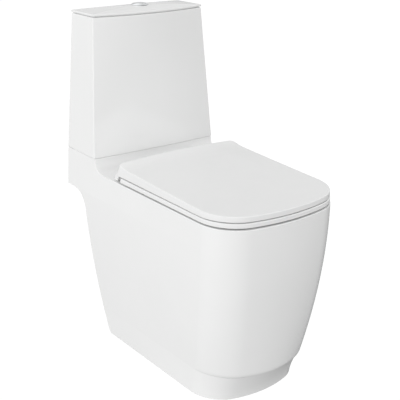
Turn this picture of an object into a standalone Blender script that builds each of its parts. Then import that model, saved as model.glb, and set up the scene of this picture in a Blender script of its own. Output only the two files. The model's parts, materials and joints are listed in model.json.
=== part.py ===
"""Close coupled toilet: a skirted pan, a tapered cistern that stands on it, and a wrap-over seat.

Metres, +Z up. X runs across the toilet, -Y is the front, and the wall stands behind it at +Y.
Depths in this file are measured forward from the wall plane, because a toilet is set out that way.
"""
import math

import bmesh
import bpy
from mathutils import Matrix, Vector

# ---------------------------------------------------------------- driving dimensions
WALL_Y = 0.338525        # the wall plane, half of the overall depth behind the origin
GAP = 0.0003             # clearance between two pieces that touch

RIM_Z = 0.4640           # flat deck that the seat stands on
SHELF_Z = 0.4973         # top of the pan's shelf, under the cistern
SHELF_BOTTOM_Z = 0.3995  # where the shelf's side ends above the pipe space
SHELF_FRONT = 0.1385     # depth of the shelf's front edge
PLINTH_Z = 0.0756        # height of the step above the plinth
WALL = 0.012             # thickness of the pan's ceramic walls

CISTERN_Z0 = SHELF_Z + GAP
CISTERN_Z1 = 0.8418      # top edge of the cistern body
CISTERN_WALL = 0.009
CISTERN_FLOOR = 0.0100
FOOT_RECESS = 0.0060     # hollow under the cistern, inside its foot rim
CISTERN_FOOT_RIM = 0.012

LID_Z0 = 0.8443          # lower edge of the lid's visible band
LID_EDGE = 0.0048
LID_CROWN = 0.0070

VALVE_DEPTH = 0.074      # flush valve axis, from the wall
BUTTON_DEPTH = 0.078     # push button axis, from the wall
FILL_X = 0.118           # fill valve axis, off the centre line
FILL_DEPTH = 0.070
BOLT_X = 0.080           # coupling bolts, off the centre line

HINGE_X = 0.078          # seat fixings, off the centre line
HINGE_DEPTH = 0.2265     # hinge axis, from the wall
HINGE_Z = 0.4780
PIN_R = 0.0050
LUG_R = 0.0085

RING_Z0 = 0.4675
RING_Z1 = 0.4785
COVER_Z0 = 0.4805
SEAT_BACK = 0.2525       # depth of the seat ring's rear edge
COVER_FRONT = 0.6743

CERAMIC = ((0.90, 0.90, 0.89), 0.10, 0.0)
SEAT_WHITE = ((0.90, 0.90, 0.90), 0.22, 0.0)
PLASTIC = ((0.86, 0.87, 0.87), 0.40, 0.0)
BLUE_PLASTIC = ((0.16, 0.34, 0.62), 0.42, 0.0)
RUBBER = ((0.06, 0.06, 0.06), 0.70, 0.0)
SILICONE = ((0.55, 0.56, 0.55), 0.55, 0.0)
CHROME = ((0.82, 0.83, 0.84), 0.08, 1.0)
STEEL = ((0.62, 0.62, 0.60), 0.30, 1.0)


# ---------------------------------------------------------------- small helpers
def clear_scene():
    for item in list(bpy.data.objects):
        bpy.data.objects.remove(item, do_unlink=True)


def at(x, depth, z):
    """A point given across, forward from the wall, and up."""
    return Vector((x, WALL_Y - depth, z))


def mix(a, b, t):
    return a + (b - a) * t


def material(name, look):
    colour, roughness, metallic = look
    made = bpy.data.materials.new(name)
    made.use_nodes = True
    shader = made.node_tree.nodes["Principled BSDF"]
    shader.inputs["Base Color"].default_value = (*colour, 1.0)
    shader.inputs["Roughness"].default_value = roughness
    shader.inputs["Metallic"].default_value = metallic
    made.diffuse_color = (*colour, 1.0)
    return made


def empty(name, origin):
    made = bpy.data.objects.new(name, None)
    made.empty_display_size = 0.03
    made.location = origin
    bpy.context.scene.collection.objects.link(made)
    return made


def new_object(name, mesh_data, look, origin, parent=None, smooth=40.0):
    """Link a bmesh as an object whose origin is at a world point."""
    bmesh.ops.recalc_face_normals(mesh_data, faces=mesh_data.faces)
    mesh_data.transform(Matrix.Translation(-Vector(origin)))
    mesh = bpy.data.meshes.new(name)
    mesh_data.to_mesh(mesh)
    mesh_data.free()
    if look is not None:
        mesh.materials.append(material(name, look))
    mesh.shade_smooth()
    mesh.set_sharp_from_angle(angle=math.radians(smooth))
    made = bpy.data.objects.new(name, mesh)
    made.location = Vector(origin) - (parent.location if parent else Vector())
    made.parent = parent
    bpy.context.scene.collection.objects.link(made)
    return made


def cutter(name, mesh_data):
    """A helper solid for a Boolean, kept out of renders."""
    made = new_object(name, mesh_data, None, (0.0, 0.0, 0.0))
    made.hide_render = True
    made.display_type = "WIRE"
    return made


def boolean(target, mesh_data, operation):
    helper = cutter(f"{target.name}_{operation.lower()}_{len(target.modifiers)}", mesh_data)
    step = target.modifiers.new(helper.name, "BOOLEAN")
    step.operation = operation
    step.solver = "EXACT"
    step.object = helper


def cut(target, *meshes):
    for mesh_data in meshes:
        boolean(target, mesh_data, "DIFFERENCE")


def add(target, *meshes):
    for mesh_data in meshes:
        boolean(target, mesh_data, "UNION")


def loft(rings, closed=False):
    """A solid through rings of points; closed joins the last ring to the first."""
    mesh_data = bmesh.new()
    rows = [[mesh_data.verts.new(p) for p in ring] for ring in rings]
    count = len(rows[0])
    pairs = list(zip(rows, rows[1:]))
    if closed:
        pairs.append((rows[-1], rows[0]))
    for low, high in pairs:
        for i in range(count):
            j = (i + 1) % count
            mesh_data.faces.new((low[i], low[j], high[j], high[i]))
    if not closed:
        mesh_data.faces.new(rows[0])
        mesh_data.faces.new(rows[-1])
    return mesh_data


def circle(centre, radius, segments, axis="Z"):
    points = []
    for i in range(segments):
        a = 2.0 * math.pi * (i + 0.5) / segments
        u, v = radius * math.cos(a), radius * math.sin(a)
        offset = {"Z": (u, v, 0.0), "X": (0.0, u, v), "Y": (u, 0.0, v)}[axis]
        points.append(Vector(centre) + Vector(offset))
    return points


def along(axis, distance):
    return Vector({"X": (distance, 0, 0), "Y": (0, distance, 0), "Z": (0, 0, distance)}[axis])


def rod(centre, radius, low, high, segments=16, axis="Z"):
    """A cylinder from low to high along an axis through centre."""
    return turned(centre, [(radius, low), (radius, high)], segments, axis)


def turned(centre, profile, segments=20, axis="Z", closed=False):
    """A body turned about an axis: (radius, height) points, capped, or closed for a ring."""
    rings = [circle(Vector(centre) + along(axis, h), r, segments, axis) for r, h in profile]
    return loft(rings, closed)


def ring(centre, outer, inner, low, high, segments=20, axis="Z"):
    profile = [(outer, low), (outer, high), (inner, high), (inner, low)]
    return turned(centre, profile, segments, axis, closed=True)


def box(x0, x1, d0, d1, z0, z1):
    low = [at(x0, d0, z0), at(x1, d0, z0), at(x1, d1, z0), at(x0, d1, z0)]
    high = [p + Vector((0.0, 0.0, z1 - z0)) for p in low]
    return loft([low, high])


def prism(profile, x0, x1):
    """A side profile of (depth, z) points, pushed across from x0 to x1."""
    return loft([[at(x0, d, z) for d, z in profile], [at(x1, d, z) for d, z in profile]])


def arc(centre_d, centre_z, radius, start, end, steps):
    """Points of a side-view arc; angles in degrees, 0 towards the front and 90 up."""
    points = []
    for i in range(steps + 1):
        a = math.radians(mix(start, end, i / steps))
        points.append((centre_d + radius * math.cos(a), centre_z + radius * math.sin(a)))
    return points


def sweep(path, radii, segments):
    """A round tube's solid along a side-view path of (depth, z) points on the centre line."""
    rings = []
    for i, (depth, z) in enumerate(path):
        before, after = path[max(i - 1, 0)], path[min(i + 1, len(path) - 1)]
        along_path = at(0, *after) - at(0, *before)
        side = Vector((1.0, 0.0, 0.0))
        up = along_path.normalized().cross(side)
        points = []
        for k in range(segments):
            a = 2.0 * math.pi * k / segments
            points.append(at(0, depth, z) + radii[i] * (math.cos(a) * side + math.sin(a) * up))
        rings.append(points)
    return loft(rings)


# ---------------------------------------------------------------- plan outlines
def bezier(p0, p1, p2, p3, steps):
    points = []
    for i in range(steps + 1):
        t = i / steps
        s = 1.0 - t
        points.append(tuple(s**3 * a + 3 * s * s * t * b + 3 * s * t * t * c + t**3 * d
                            for a, b, c, d in zip(p0, p1, p2, p3)))
    return points


def plan(back, wall_half, front_half, front, bow, corner, side=3, round_=5, nose=3):
    """Half widths and depths of a toilet's plan, from its back corner to its nose.

    The side is straight from wall_half at the wall to front_half at the front's square corner,
    which is rounded by a curve that starts at the distance corner from it. The front is bowed.
    """
    square = front - bow
    slope = (wall_half - front_half) / square
    start = (front_half + slope * corner, square - corner)
    run = front_half - corner
    end = (run, front - bow * (run / front_half) ** 2)
    lean = 2.0 * bow * run / front_half**2
    pull = 0.60 * corner
    points = []
    for i in range(side):
        depth = mix(back, start[1], i / side)
        points.append((wall_half - slope * depth, depth))
    points += bezier(start, (start[0] - slope * pull, start[1] + pull),
                     (end[0] + pull, end[1] - lean * pull), end, round_)
    for i in range(1, nose + 1):
        x = run * (1.0 - i / nose)
        points.append((x, front - bow * (x / front_half) ** 2))
    return points


def mirrored(half, z):
    """The whole outline at a height, from the half on +X; z may be a function of depth."""
    whole = half + [(-x, d) for x, d in reversed(half[:-1])]
    return [at(x, d, z(d) if callable(z) else z) for x, d in whole]


# ---------------------------------------------------------------- pan
FLOOR_PLAN = {"wall_half": 0.1565, "front_half": 0.1405, "front": 0.5922, "bow": 0.0376, "corner": 0.060}
STEP_PLAN = {"wall_half": 0.1640, "front_half": 0.1450, "front": 0.6340, "bow": 0.0560, "corner": 0.062}
RIM_PLAN = {"wall_half": 0.1806, "front_half": 0.1698, "front": 0.6750, "bow": 0.0350, "corner": 0.070}
RIM_SWELL = 1.05         # the body's swell just under the rim, as a share of the step-to-rim growth
SHELF_HALF = 0.1813      # half width of the shelf's top
SHELF_LOW_HALF = 0.1876  # half width of the shelf's lowest corner


def body_half_at_wall(z):
    """Half width of the pan's side, carried back to the wall plane."""
    if z >= SHELF_BOTTOM_Z:
        return mix(SHELF_LOW_HALF, SHELF_HALF, (z - SHELF_BOTTOM_Z) / (SHELF_Z - SHELF_BOTTOM_Z))
    rise = 1.0 - (1.0 - z / SHELF_BOTTOM_Z) ** 1.6
    return mix(FLOOR_PLAN["wall_half"], SHELF_LOW_HALF, rise)


def body_plan(z):
    """The pan's plan above the step: it swells towards the rim."""
    height = (z - PLINTH_Z) / (RIM_Z - PLINTH_Z)
    swell = RIM_SWELL * (1.0 - max(1.0 - height, 0.0) ** 1.9)
    shape = {key: mix(STEP_PLAN[key], RIM_PLAN[key], swell) for key in STEP_PLAN}
    shape["wall_half"] = body_half_at_wall(z)
    return shape


def plinth_plan(z, recess=0.004):
    """The plinth's plan: it flares up to the step, a little behind the body's lower edge."""
    rise = z / PLINTH_Z
    shape = {key: mix(FLOOR_PLAN[key], STEP_PLAN[key], rise**1.3) for key in STEP_PLAN}
    shape["front"] -= recess * rise
    shape["wall_half"] = body_half_at_wall(z)
    return shape


def body_back(z):
    """Depth of the pan's rear edge: legs below, then a hollow curve out to the shelf's corner."""
    leg_top = 0.337
    if z <= leg_top:
        return mix(0.1350, 0.0852, (z / leg_top) ** 0.65)
    rise = min((z - leg_top) / (SHELF_BOTTOM_Z - leg_top), 1.0)
    return 0.0852 * (1.0 - rise**2.2) ** 0.25


def pan_section(z, shape, thinner=0.0, back=None):
    back_depth = body_back(z) if back is None else back
    trimmed = dict(shape)
    trimmed["wall_half"] -= thinner
    trimmed["front_half"] -= thinner
    trimmed["front"] -= thinner
    return mirrored(plan(back_depth, **trimmed), z)


def pan_outer():
    rings = [pan_section(z, plinth_plan(z)) for z in (0.0, 0.035, PLINTH_Z - 0.0015)]
    levels = (PLINTH_Z, 0.120, 0.180, 0.240, 0.290, 0.337, 0.362, 0.380, 0.391)
    levels += (0.3965, 0.3990, SHELF_BOTTOM_Z, 0.430, RIM_Z)
    rings += [pan_section(z, body_plan(z)) for z in levels]
    rings.append(pan_section(SHELF_Z, body_plan(SHELF_Z)))
    return loft(rings)


def ramp_profile():
    """Side view of what is cleared above the deck: the shelf's front sweeps down in a hollow curve."""
    high = SHELF_Z + 0.02
    profile = [(0.80, high), (SHELF_FRONT, high), (SHELF_FRONT, SHELF_Z - 0.004)]
    profile += bezier((SHELF_FRONT, SHELF_Z - 0.005), (SHELF_FRONT + 0.002, RIM_Z + 0.008),
                      (SHELF_FRONT + 0.012, RIM_Z), (SHELF_FRONT + 0.056, RIM_Z), 6)
    profile.append((0.80, RIM_Z))
    return profile


def pan_cavity():
    """The hollow inside the skirt, open at the floor and at the back."""
    rings = [pan_section(-0.01, plinth_plan(0.0), WALL, back=-0.03)]
    rings += [pan_section(z, plinth_plan(z), WALL, back=-0.03) for z in (0.035, PLINTH_Z + 0.004)]
    levels = (0.150, 0.250, 0.350, RIM_Z - WALL)
    rings += [pan_section(z, body_plan(z), WALL, back=-0.03) for z in levels]
    return loft(rings)


BOWL_LEVELS = ((0.464, 0.186, 0.128, 0.454), (0.430, 0.187, 0.130, 0.454), (0.380, 0.171, 0.119, 0.448),
               (0.320, 0.134, 0.097, 0.430), (0.262, 0.092, 0.070, 0.402), (0.218, 0.060, 0.050, 0.376),
               (0.198, 0.040, 0.034, 0.366))


def oval(half_length, half_width, centre_depth, z, segments=24, power=2.35):
    points = []
    for i in range(segments):
        a = 2.0 * math.pi * i / segments
        c, s = math.cos(a), math.sin(a)
        x = math.copysign(abs(c) ** (2.0 / power), c) * half_width
        d = math.copysign(abs(s) ** (2.0 / power), s) * half_length
        points.append(at(x, centre_depth + d, z))
    return points


def bowl(thicker, top_z, bottom_z):
    rings = [oval(BOWL_LEVELS[0][1] + thicker, BOWL_LEVELS[0][2] + thicker, BOWL_LEVELS[0][3], top_z)]
    rings += [oval(length + thicker, width + thicker, depth, z) for z, length, width, depth in BOWL_LEVELS[1:]]
    rings.append(oval(BOWL_LEVELS[-1][1] * 0.5 + thicker, BOWL_LEVELS[-1][2] * 0.5 + thicker, 0.364, bottom_z))
    return loft(rings)


TRAP_PATH = ((0.376, 0.236), (0.345, 0.215), (0.305, 0.214), (0.266, 0.240), (0.232, 0.275), (0.196, 0.290),
             (0.163, 0.272), (0.140, 0.238), (0.115, 0.205), (0.085, 0.188), (0.050, 0.185), (0.012, 0.185))
DUCT_PATH = ((0.074, 0.480), (0.075, 0.452), (0.086, 0.430), (0.112, 0.420), (0.200, 0.420), (0.278, 0.420))


def make_pan():
    pan = new_object("pan", pan_outer(), CERAMIC, at(0, WALL_Y, 0))
    cut(pan, prism(ramp_profile(), -0.30, 0.30), pan_cavity())
    cut(pan, box(-SHELF_HALF + WALL, SHELF_HALF - WALL, -0.03, SHELF_FRONT - WALL, 0.440, SHELF_Z - 0.015))
    trap_radii = [mix(0.034, 0.041, i / (len(TRAP_PATH) - 1)) for i in range(len(TRAP_PATH))]
    valve = at(0, VALVE_DEPTH, 0)
    add(pan, bowl(0.010, RIM_Z - 0.004, 0.182))
    add(pan, sweep(TRAP_PATH, [r + 0.010 for r in trap_radii], 16))
    add(pan, sweep(DUCT_PATH, [0.034] * len(DUCT_PATH), 16), rod(valve, 0.052, 0.460, SHELF_Z - 0.010, 20))
    cut(pan, bowl(0.0, RIM_Z + 0.01, 0.192))
    open_trap = ((0.392, 0.246),) + TRAP_PATH[1:-1] + ((-0.01, 0.185),)
    cut(pan, sweep(open_trap, trap_radii, 16))
    open_duct = ((0.074, 0.505),) + DUCT_PATH[1:-1] + ((0.300, 0.420),)
    cut(pan, sweep(open_duct, [0.025] * len(DUCT_PATH), 16), rod(valve, 0.043, 0.4700, SHELF_Z + 0.01, 20))
    for side in (-1, 1):
        cut(pan, rod(at(side * HINGE_X, HINGE_DEPTH, 0), 0.0075, RIM_Z - 0.03, RIM_Z + 0.01, 12))
        cut(pan, rod(at(side * BOLT_X, VALVE_DEPTH, 0), 0.0060, SHELF_Z - 0.03, SHELF_Z + 0.01, 12))
    cut(pan, rod(at(FILL_X, FILL_DEPTH, 0), 0.0215, SHELF_Z - 0.03, SHELF_Z + 0.01, 16))


# ---------------------------------------------------------------- cistern and lid
CISTERN_LOW = {"half": 0.1813, "back": 0.0, "front": 0.1380, "bulge": 0.0040}
CISTERN_HIGH = {"half": 0.1592, "back": 0.0150, "front": 0.1200, "bulge": 0.0230}


def cistern_plan(z, thinner=0.0, across=8):
    """The cistern's plan at a height: square back corners and a front that bulges more towards the top."""
    rise = (z - CISTERN_Z0) / (CISTERN_Z1 - CISTERN_Z0)
    shape = {key: mix(CISTERN_LOW[key], CISTERN_HIGH[key], rise) for key in CISTERN_LOW}
    half = shape["half"] - thinner
    points = [at(-half, shape["back"] + thinner, z), at(half, shape["back"] + thinner, z)]
    for i in range(across + 1):
        x = mix(half, -half, i / across)
        bulge = shape["bulge"] * (1.0 - (x / shape["half"]) ** 2)
        points.append(at(x, shape["front"] + bulge - thinner, z))
    return points


def make_cistern():
    inside = CISTERN_Z0 + FOOT_RECESS + CISTERN_FLOOR
    origin = at(0, 0.07, CISTERN_Z0)
    cistern = new_object("cistern", loft([cistern_plan(CISTERN_Z0), cistern_plan(CISTERN_Z1)]), CERAMIC, origin)
    cut(cistern, loft([cistern_plan(inside, CISTERN_WALL), cistern_plan(CISTERN_Z1 + 0.02, CISTERN_WALL)]))
    recess = [cistern_plan(z, CISTERN_FOOT_RIM) for z in (CISTERN_Z0 - 0.01, CISTERN_Z0 + FOOT_RECESS)]
    cut(cistern, loft(recess))
    cut(cistern, rod(at(0, VALVE_DEPTH, 0), 0.0305, CISTERN_Z0 - 0.01, inside + 0.01, 20))
    cut(cistern, rod(at(FILL_X, FILL_DEPTH, 0), 0.0112, CISTERN_Z0 - 0.01, inside + 0.01, 16))


def lid_ring(z, thinner, share=0.0):
    """The lid's outline, drawn in by a distance or, near the crown, by a share of its size."""
    middle = at(0, BUTTON_DEPTH, z)
    points = cistern_plan(CISTERN_Z1, thinner)
    return [Vector((mix(p.x, middle.x, share), mix(p.y, middle.y, share), z)) for p in points]


def make_lid(lift):
    top = LID_Z0 + LID_EDGE
    under = CISTERN_Z1 + GAP
    rings = [lid_ring(top - 0.0035, 0.022), lid_ring(0.8320, 0.022), lid_ring(0.8320, 0.0115)]
    rings += [lid_ring(under, 0.0115), lid_ring(under, 0.0035), lid_ring(LID_Z0, 0.0035)]
    rings += [lid_ring(LID_Z0, -0.0010), lid_ring(top - 0.0010, -0.0010), lid_ring(top, 0.0004)]
    for share in (0.25, 0.5, 0.75):
        rings.append(lid_ring(top + LID_CROWN * (1.0 - (1.0 - share) ** 2), 0.0, share))
    lid = new_object("cistern_lid", loft(rings), CERAMIC, lift.location, lift)
    cut(lid, rod(at(0, BUTTON_DEPTH, 0), 0.0172, 0.82, 0.88, 24))


# ---------------------------------------------------------------- push button
BEZEL_Z = LID_Z0 + LID_EDGE + LID_CROWN
BEZEL_TOP = BEZEL_Z + 0.0036
BUTTON_TOP = BEZEL_TOP + 0.0012
BUTTON_R = 0.0148
ROD_X = 0.0075
SLEEVE_FLOOR = 0.8260
ROD_FOOT = 0.7160


def make_button_housing(lift):
    centre = at(0, BUTTON_DEPTH, 0)
    floor_top = SLEEVE_FLOOR + 0.0020
    profile = [(0.0010, SLEEVE_FLOOR), (0.0164, SLEEVE_FLOOR), (0.0164, BEZEL_Z), (0.0206, BEZEL_Z)]
    profile += [(0.0206, BEZEL_TOP - 0.0016), (0.0196, BEZEL_TOP - 0.0003), (0.0180, BEZEL_TOP)]
    profile += [(0.0158, BEZEL_TOP), (0.0152, BEZEL_TOP - 0.0008), (0.0152, floor_top), (0.0010, floor_top)]
    housing = new_object("button_housing", turned(centre, profile, 28, closed=True), CHROME,
                         lift.location, lift)
    for side in (-1, 1):
        hole = at(side * ROD_X, BUTTON_DEPTH, 0)
        cut(housing, rod(hole, 0.0034, SLEEVE_FLOOR - 0.01, floor_top + 0.01, 10))
    profile = [(0.0173, 0.8378), (0.0240, 0.8378), (0.0250, 0.8390), (0.0250, 0.8450), (0.0173, 0.8450)]
    new_object("button_nut", turned(centre, profile, 16, closed=True), PLASTIC, lift.location, lift)


def half_disc(side, radius, low, high, segments=12):
    """One D-shaped half of a round button, with a narrow slot to the other half."""
    slot = 0.0004 * side
    first = math.acos(abs(slot) / radius)
    points = []
    for i in range(segments + 1):
        a = mix(-first, first, i / segments)
        points.append((side * radius * math.cos(a), radius * math.sin(a)))
    centre = at(0, BUTTON_DEPTH, 0)
    rings = []
    for z, shrink in ((low, 1.0), (high - 0.0008, 1.0), (high, 0.95)):
        rings.append([centre + Vector((slot + (x - slot) * shrink, y * shrink, z)) for x, y in points])
    return loft(rings)


def make_button(name, side, press):
    """A button half, and the rod under it that reaches down to the flush valve."""
    new_object(f"button_{name}", half_disc(side, BUTTON_R, BUTTON_TOP - 0.0060, BUTTON_TOP), CHROME,
               press.location, press)
    centre = at(side * ROD_X, BUTTON_DEPTH, 0)
    top = BUTTON_TOP - 0.0060 - GAP
    profile = [(0.0025, ROD_FOOT), (0.0025, top - 0.0020), (0.0032, top - 0.0010), (0.0032, top)]
    new_object(f"push_rod_{name}", turned(centre, profile, 10), PLASTIC, press.location, press)


def make_button_spring(name, side, lift):
    """An open coil around the rod, between the sleeve's floor and the button."""
    turns, steps, wire = 4, 9, 0.0006
    low = SLEEVE_FLOOR + 0.0020 + wire + GAP
    high = BUTTON_TOP - 0.0060 - wire - GAP
    radius = 0.0050
    axis = at(side * ROD_X, BUTTON_DEPTH, 0)
    rings = []
    for i in range(turns * steps + 1):
        a = 2.0 * math.pi * i / steps
        outward = Vector((math.cos(a), math.sin(a), 0.0))
        centre = axis + outward * radius + Vector((0.0, 0.0, mix(low, high, i / (turns * steps))))
        rings.append([centre + outward * wire * math.cos(b) + Vector((0, 0, wire * math.sin(b)))
                      for b in (0.0, 0.5 * math.pi, math.pi, 1.5 * math.pi)])
    new_object(f"button_spring_{name}", loft(rings), STEEL, lift.location, lift)


# ---------------------------------------------------------------- seat
RING_PLAN = {"wall_half": 0.1812, "front_half": 0.1710, "front": 0.6752, "bow": 0.0348, "corner": 0.069}
COVER_PLAN = {"wall_half": 0.1765, "front_half": 0.1718, "front": COVER_FRONT, "bow": 0.0358, "corner": 0.070}


def ring_hole(p, half_width=0.106, half_length=0.158, centre_depth=0.447, power=2.5):
    """The point of the ring's inner edge that lies towards an outer point."""
    x, d = p.x, WALL_Y - p.y - centre_depth
    reach = (abs(x / half_width) ** power + abs(d / half_length) ** power) ** (-1.0 / power)
    return at(x * reach, centre_depth + d * reach, 0.0)


def make_seat_ring(hinge):
    edge = 0.0030
    outer = mirrored(plan(SEAT_BACK, side=4, **RING_PLAN), 0.0)
    right_end = outer[0].x
    outer += [at(right_end * share, SEAT_BACK, 0.0) for share in (-0.75, -0.5, -0.2, 0.2, 0.5, 0.75)]
    inner = [ring_hole(p) for p in outer]

    def level(points, z):
        return [Vector((p.x, p.y, z)) for p in points]

    def between(share, z):
        return [Vector((mix(a.x, b.x, share), mix(a.y, b.y, share), z)) for a, b in zip(outer, inner)]

    rings = [between(0.04, RING_Z0), level(outer, RING_Z0 + 0.0015), level(outer, RING_Z1 - edge)]
    rings += [between(0.04, RING_Z1), between(0.75, RING_Z1 - 0.0006), level(inner, RING_Z1 - 0.0050)]
    rings += [level(inner, RING_Z0 + edge), between(0.95, RING_Z0)]
    body = loft(rings, closed=True)
    bmesh.ops.triangulate(body, faces=body.faces)
    seat = new_object("seat_ring", body, SEAT_WHITE, hinge.location, hinge)
    lug = [(SEAT_BACK + 0.012, HINGE_Z - 0.0078), (SEAT_BACK + 0.012, HINGE_Z - 0.0010)]
    lug += [(HINGE_DEPTH + 0.0080, HINGE_Z - 0.0010)] + arc(HINGE_DEPTH, HINGE_Z, LUG_R, 20, 270, 8)
    for side in (-1, 1):
        x0, x1 = sorted((side * 0.0545, side * 0.0665))
        add(seat, prism(lug, x0, x1))
        cut(seat, rod(at(0, HINGE_DEPTH, HINGE_Z), PIN_R + GAP, x0 - 0.002, x1 + 0.002, 16, "X"))


def make_ring_buffers(hinge):
    spots = ((-0.138, 0.330), (0.138, 0.330), (-0.112, 0.615), (0.112, 0.615))
    for number, (x, depth) in enumerate(spots, 1):
        profile = [(0.0070, RIM_Z + GAP), (0.0080, RIM_Z + 0.0014), (0.0080, RING_Z0 - GAP)]
        new_object(f"ring_buffer_{number}", turned(at(x, depth, 0), profile, 12), SILICONE,
                   hinge.location, hinge)


def cover_top(depth):
    """Height of the cover's upper surface: it falls from the back to a thin front edge."""
    back, front = 0.2369, COVER_FRONT
    t = min(max((depth - back) / (front - back), 0.0), 1.0)
    sweep_up = max(0.0, (0.285 - depth) / 0.043)
    return 0.4935 + 0.0125 * (1.0 - t) ** 1.35 + 0.0075 * sweep_up**2


def cover_section(back, thinner, z):
    shape = dict(COVER_PLAN)
    for key in ("wall_half", "front_half", "front"):
        shape[key] -= thinner
    points = mirrored(plan(back, side=9, **shape), z)
    rear = points[0]
    points += [Vector((rear.x * share, rear.y, rear.z)) for share in (-0.7, -0.35, 0.0, 0.35, 0.7)]
    for p in points:
        raised = min(max((p.z - COVER_Z0) / (cover_top(WALL_Y - p.y) - COVER_Z0), 0.0), 1.0)
        p.z += raised * cover_crown(p)
    return points


def cover_crown(p):
    """Rise of the cover's top towards the centre line, most at the rear edge."""
    forward = (COVER_FRONT - WALL_Y + p.y) / (COVER_FRONT - 0.2470)
    across = max(1.0 - (p.x / 0.1740) ** 2, 0.0)
    return 0.0045 * across * min(max(forward, 0.0), 1.0) ** 2


def make_seat_cover(hinge):
    slope = 0.543
    crown = 0.0008
    rings = [cover_section(0.2182 + (COVER_Z0 - 0.4667) * slope, 0.0010, COVER_Z0),
             cover_section(0.2182 + (COVER_Z0 - 0.4655) * slope, 0.0, COVER_Z0 + 0.0012),
             cover_section(0.2428, 0.0006, lambda d: cover_top(d) - 0.0035),
             cover_section(0.2470, 0.0040, cover_top)]
    flat = rings[-1]
    for share, lift in ((0.25, 0.5), (0.55, 0.85), (0.85, 1.0)):
        middle = at(0, 0.455, 0)
        drawn = [Vector((mix(p.x, middle.x, share), mix(p.y, middle.y, share), crown * lift)) for p in flat]
        rings.append([p + Vector((0.0, 0.0, cover_top(WALL_Y - p.y) + cover_crown(p))) for p in drawn])
    body = loft(rings)
    bmesh.ops.triangulate(body, faces=body.faces)
    cover = new_object("seat_cover", body, SEAT_WHITE, hinge.location, hinge)
    hollow = [cover_section(0.267, 0.018, COVER_Z0 - 0.01), cover_section(0.267, 0.018, COVER_Z0 + 0.004),
              cover_section(0.275, 0.024, lambda d: cover_top(d) - 0.0042)]
    cut(cover, loft(hollow))
    foot = [(0.2460, COVER_Z0 + 0.004), (0.2315, COVER_Z0 + 0.004), (0.2219, 0.4735), (0.2236, 0.4684)]
    foot += [(0.2262, 0.4667), (0.2342, 0.4667), (0.2365, 0.4690), (0.2420, COVER_Z0 - 0.0008), (0.2460, COVER_Z0)]
    add(cover, prism(foot, -0.1740, 0.1740))
    for side in (-1, 1):
        lug = arc(HINGE_DEPTH, HINGE_Z, LUG_R, -60, 260, 10)
        x0, x1 = sorted((side * 0.0895, side * 0.1035))
        add(cover, prism(lug, x0, x1))
        cut(cover, rod(at(0, HINGE_DEPTH, HINGE_Z), PIN_R + GAP, x0 - 0.002, x1 + 0.0003, 16, "X"))
        n0, n1 = sorted((side * 0.0540, side * 0.0892))
        cut(cover, box(n0, n1, 0.205, 0.2425, 0.460, HINGE_Z + 0.0113))


def make_cover_buffers(hinge):
    spots = ((-0.162, 0.420), (0.162, 0.420), (-0.100, 0.6513), (0.100, 0.6513))
    for number, (x, depth) in enumerate(spots, 1):
        new_object(f"cover_buffer_{number}", rod(at(x, depth, 0), 0.0055, RING_Z1 + GAP, COVER_Z0 - GAP, 12),
                   SILICONE, hinge.location, hinge)


def make_hinge_hardware(name, side):
    """Post, pin, bolt, rubber washer and wing nut of one seat fixing."""
    centre = at(side * HINGE_X, HINGE_DEPTH, 0)
    post_profile = [(HINGE_DEPTH + 0.0080, RIM_Z + GAP)] + arc(HINGE_DEPTH, HINGE_Z, 0.0080, 0, 180, 8)
    post_profile.append((HINGE_DEPTH - 0.0080, RIM_Z + GAP))
    x0, x1 = sorted((side * 0.0670, side * 0.0890))
    post = new_object(f"hinge_post_{name}", prism(post_profile, x0, x1), CHROME, centre + along("Z", RIM_Z))
    cut(post, rod(at(0, HINGE_DEPTH, HINGE_Z), PIN_R + GAP, x0 - 0.01, x1 + 0.01, 16, "X"))
    cut(post, rod(centre, 0.0034, RIM_Z - 0.01, 0.4712, 12))
    p0, p1 = sorted((side * 0.0548, side * 0.1032))
    new_object(f"hinge_pin_{name}", rod(at(0, HINGE_DEPTH, HINGE_Z), PIN_R, p0, p1, 16, "X"), STEEL,
               at(side * HINGE_X, HINGE_DEPTH, HINGE_Z))
    deck = RIM_Z - WALL
    new_object(f"hinge_bolt_{name}", rod(centre, 0.0030, deck - 0.036, 0.4708, 12), STEEL, centre)
    washer = [(0.0034, deck - 0.0060), (0.0130, deck - 0.0060), (0.0130, deck - GAP), (0.0070, deck - GAP)]
    washer += [(0.0060, deck + 0.0050), (0.0034, deck + 0.0050)]
    new_object(f"hinge_washer_{name}", turned(centre, washer, 16, closed=True), RUBBER, centre)
    make_wing_nut(f"hinge_nut_{name}", centre, deck - 0.0063, 0.0033, 0.0085, 0.018, PLASTIC)


def make_wing_nut(name, centre, top, bore, hub, reach, look):
    """A nut with two finger wings, hanging below a washer."""
    nut = new_object(name, ring(centre, hub, bore, top - 0.0130, top, 14), look, centre)
    for side in (-1, 1):
        x = centre.x + side * (reach + hub) * 0.5
        half = (reach - hub) * 0.5 + 0.0012
        depth = WALL_Y - centre.y
        add(nut, box(x - half, x + half, depth - 0.0018, depth + 0.0018, top - 0.0110, top - 0.0012))


# ---------------------------------------------------------------- flush valve
INSIDE_Z = CISTERN_Z0 + FOOT_RECESS + CISTERN_FLOOR
UNDERSIDE_Z = CISTERN_Z0 + FOOT_RECESS
SEAT_Z = 0.5305          # the valve seat
CANISTER_FOOT = 0.5337
OVERFLOW_TOP = 0.6990
ROCKER_Z = 0.7125
ROCKER_X = 0.0200


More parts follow.
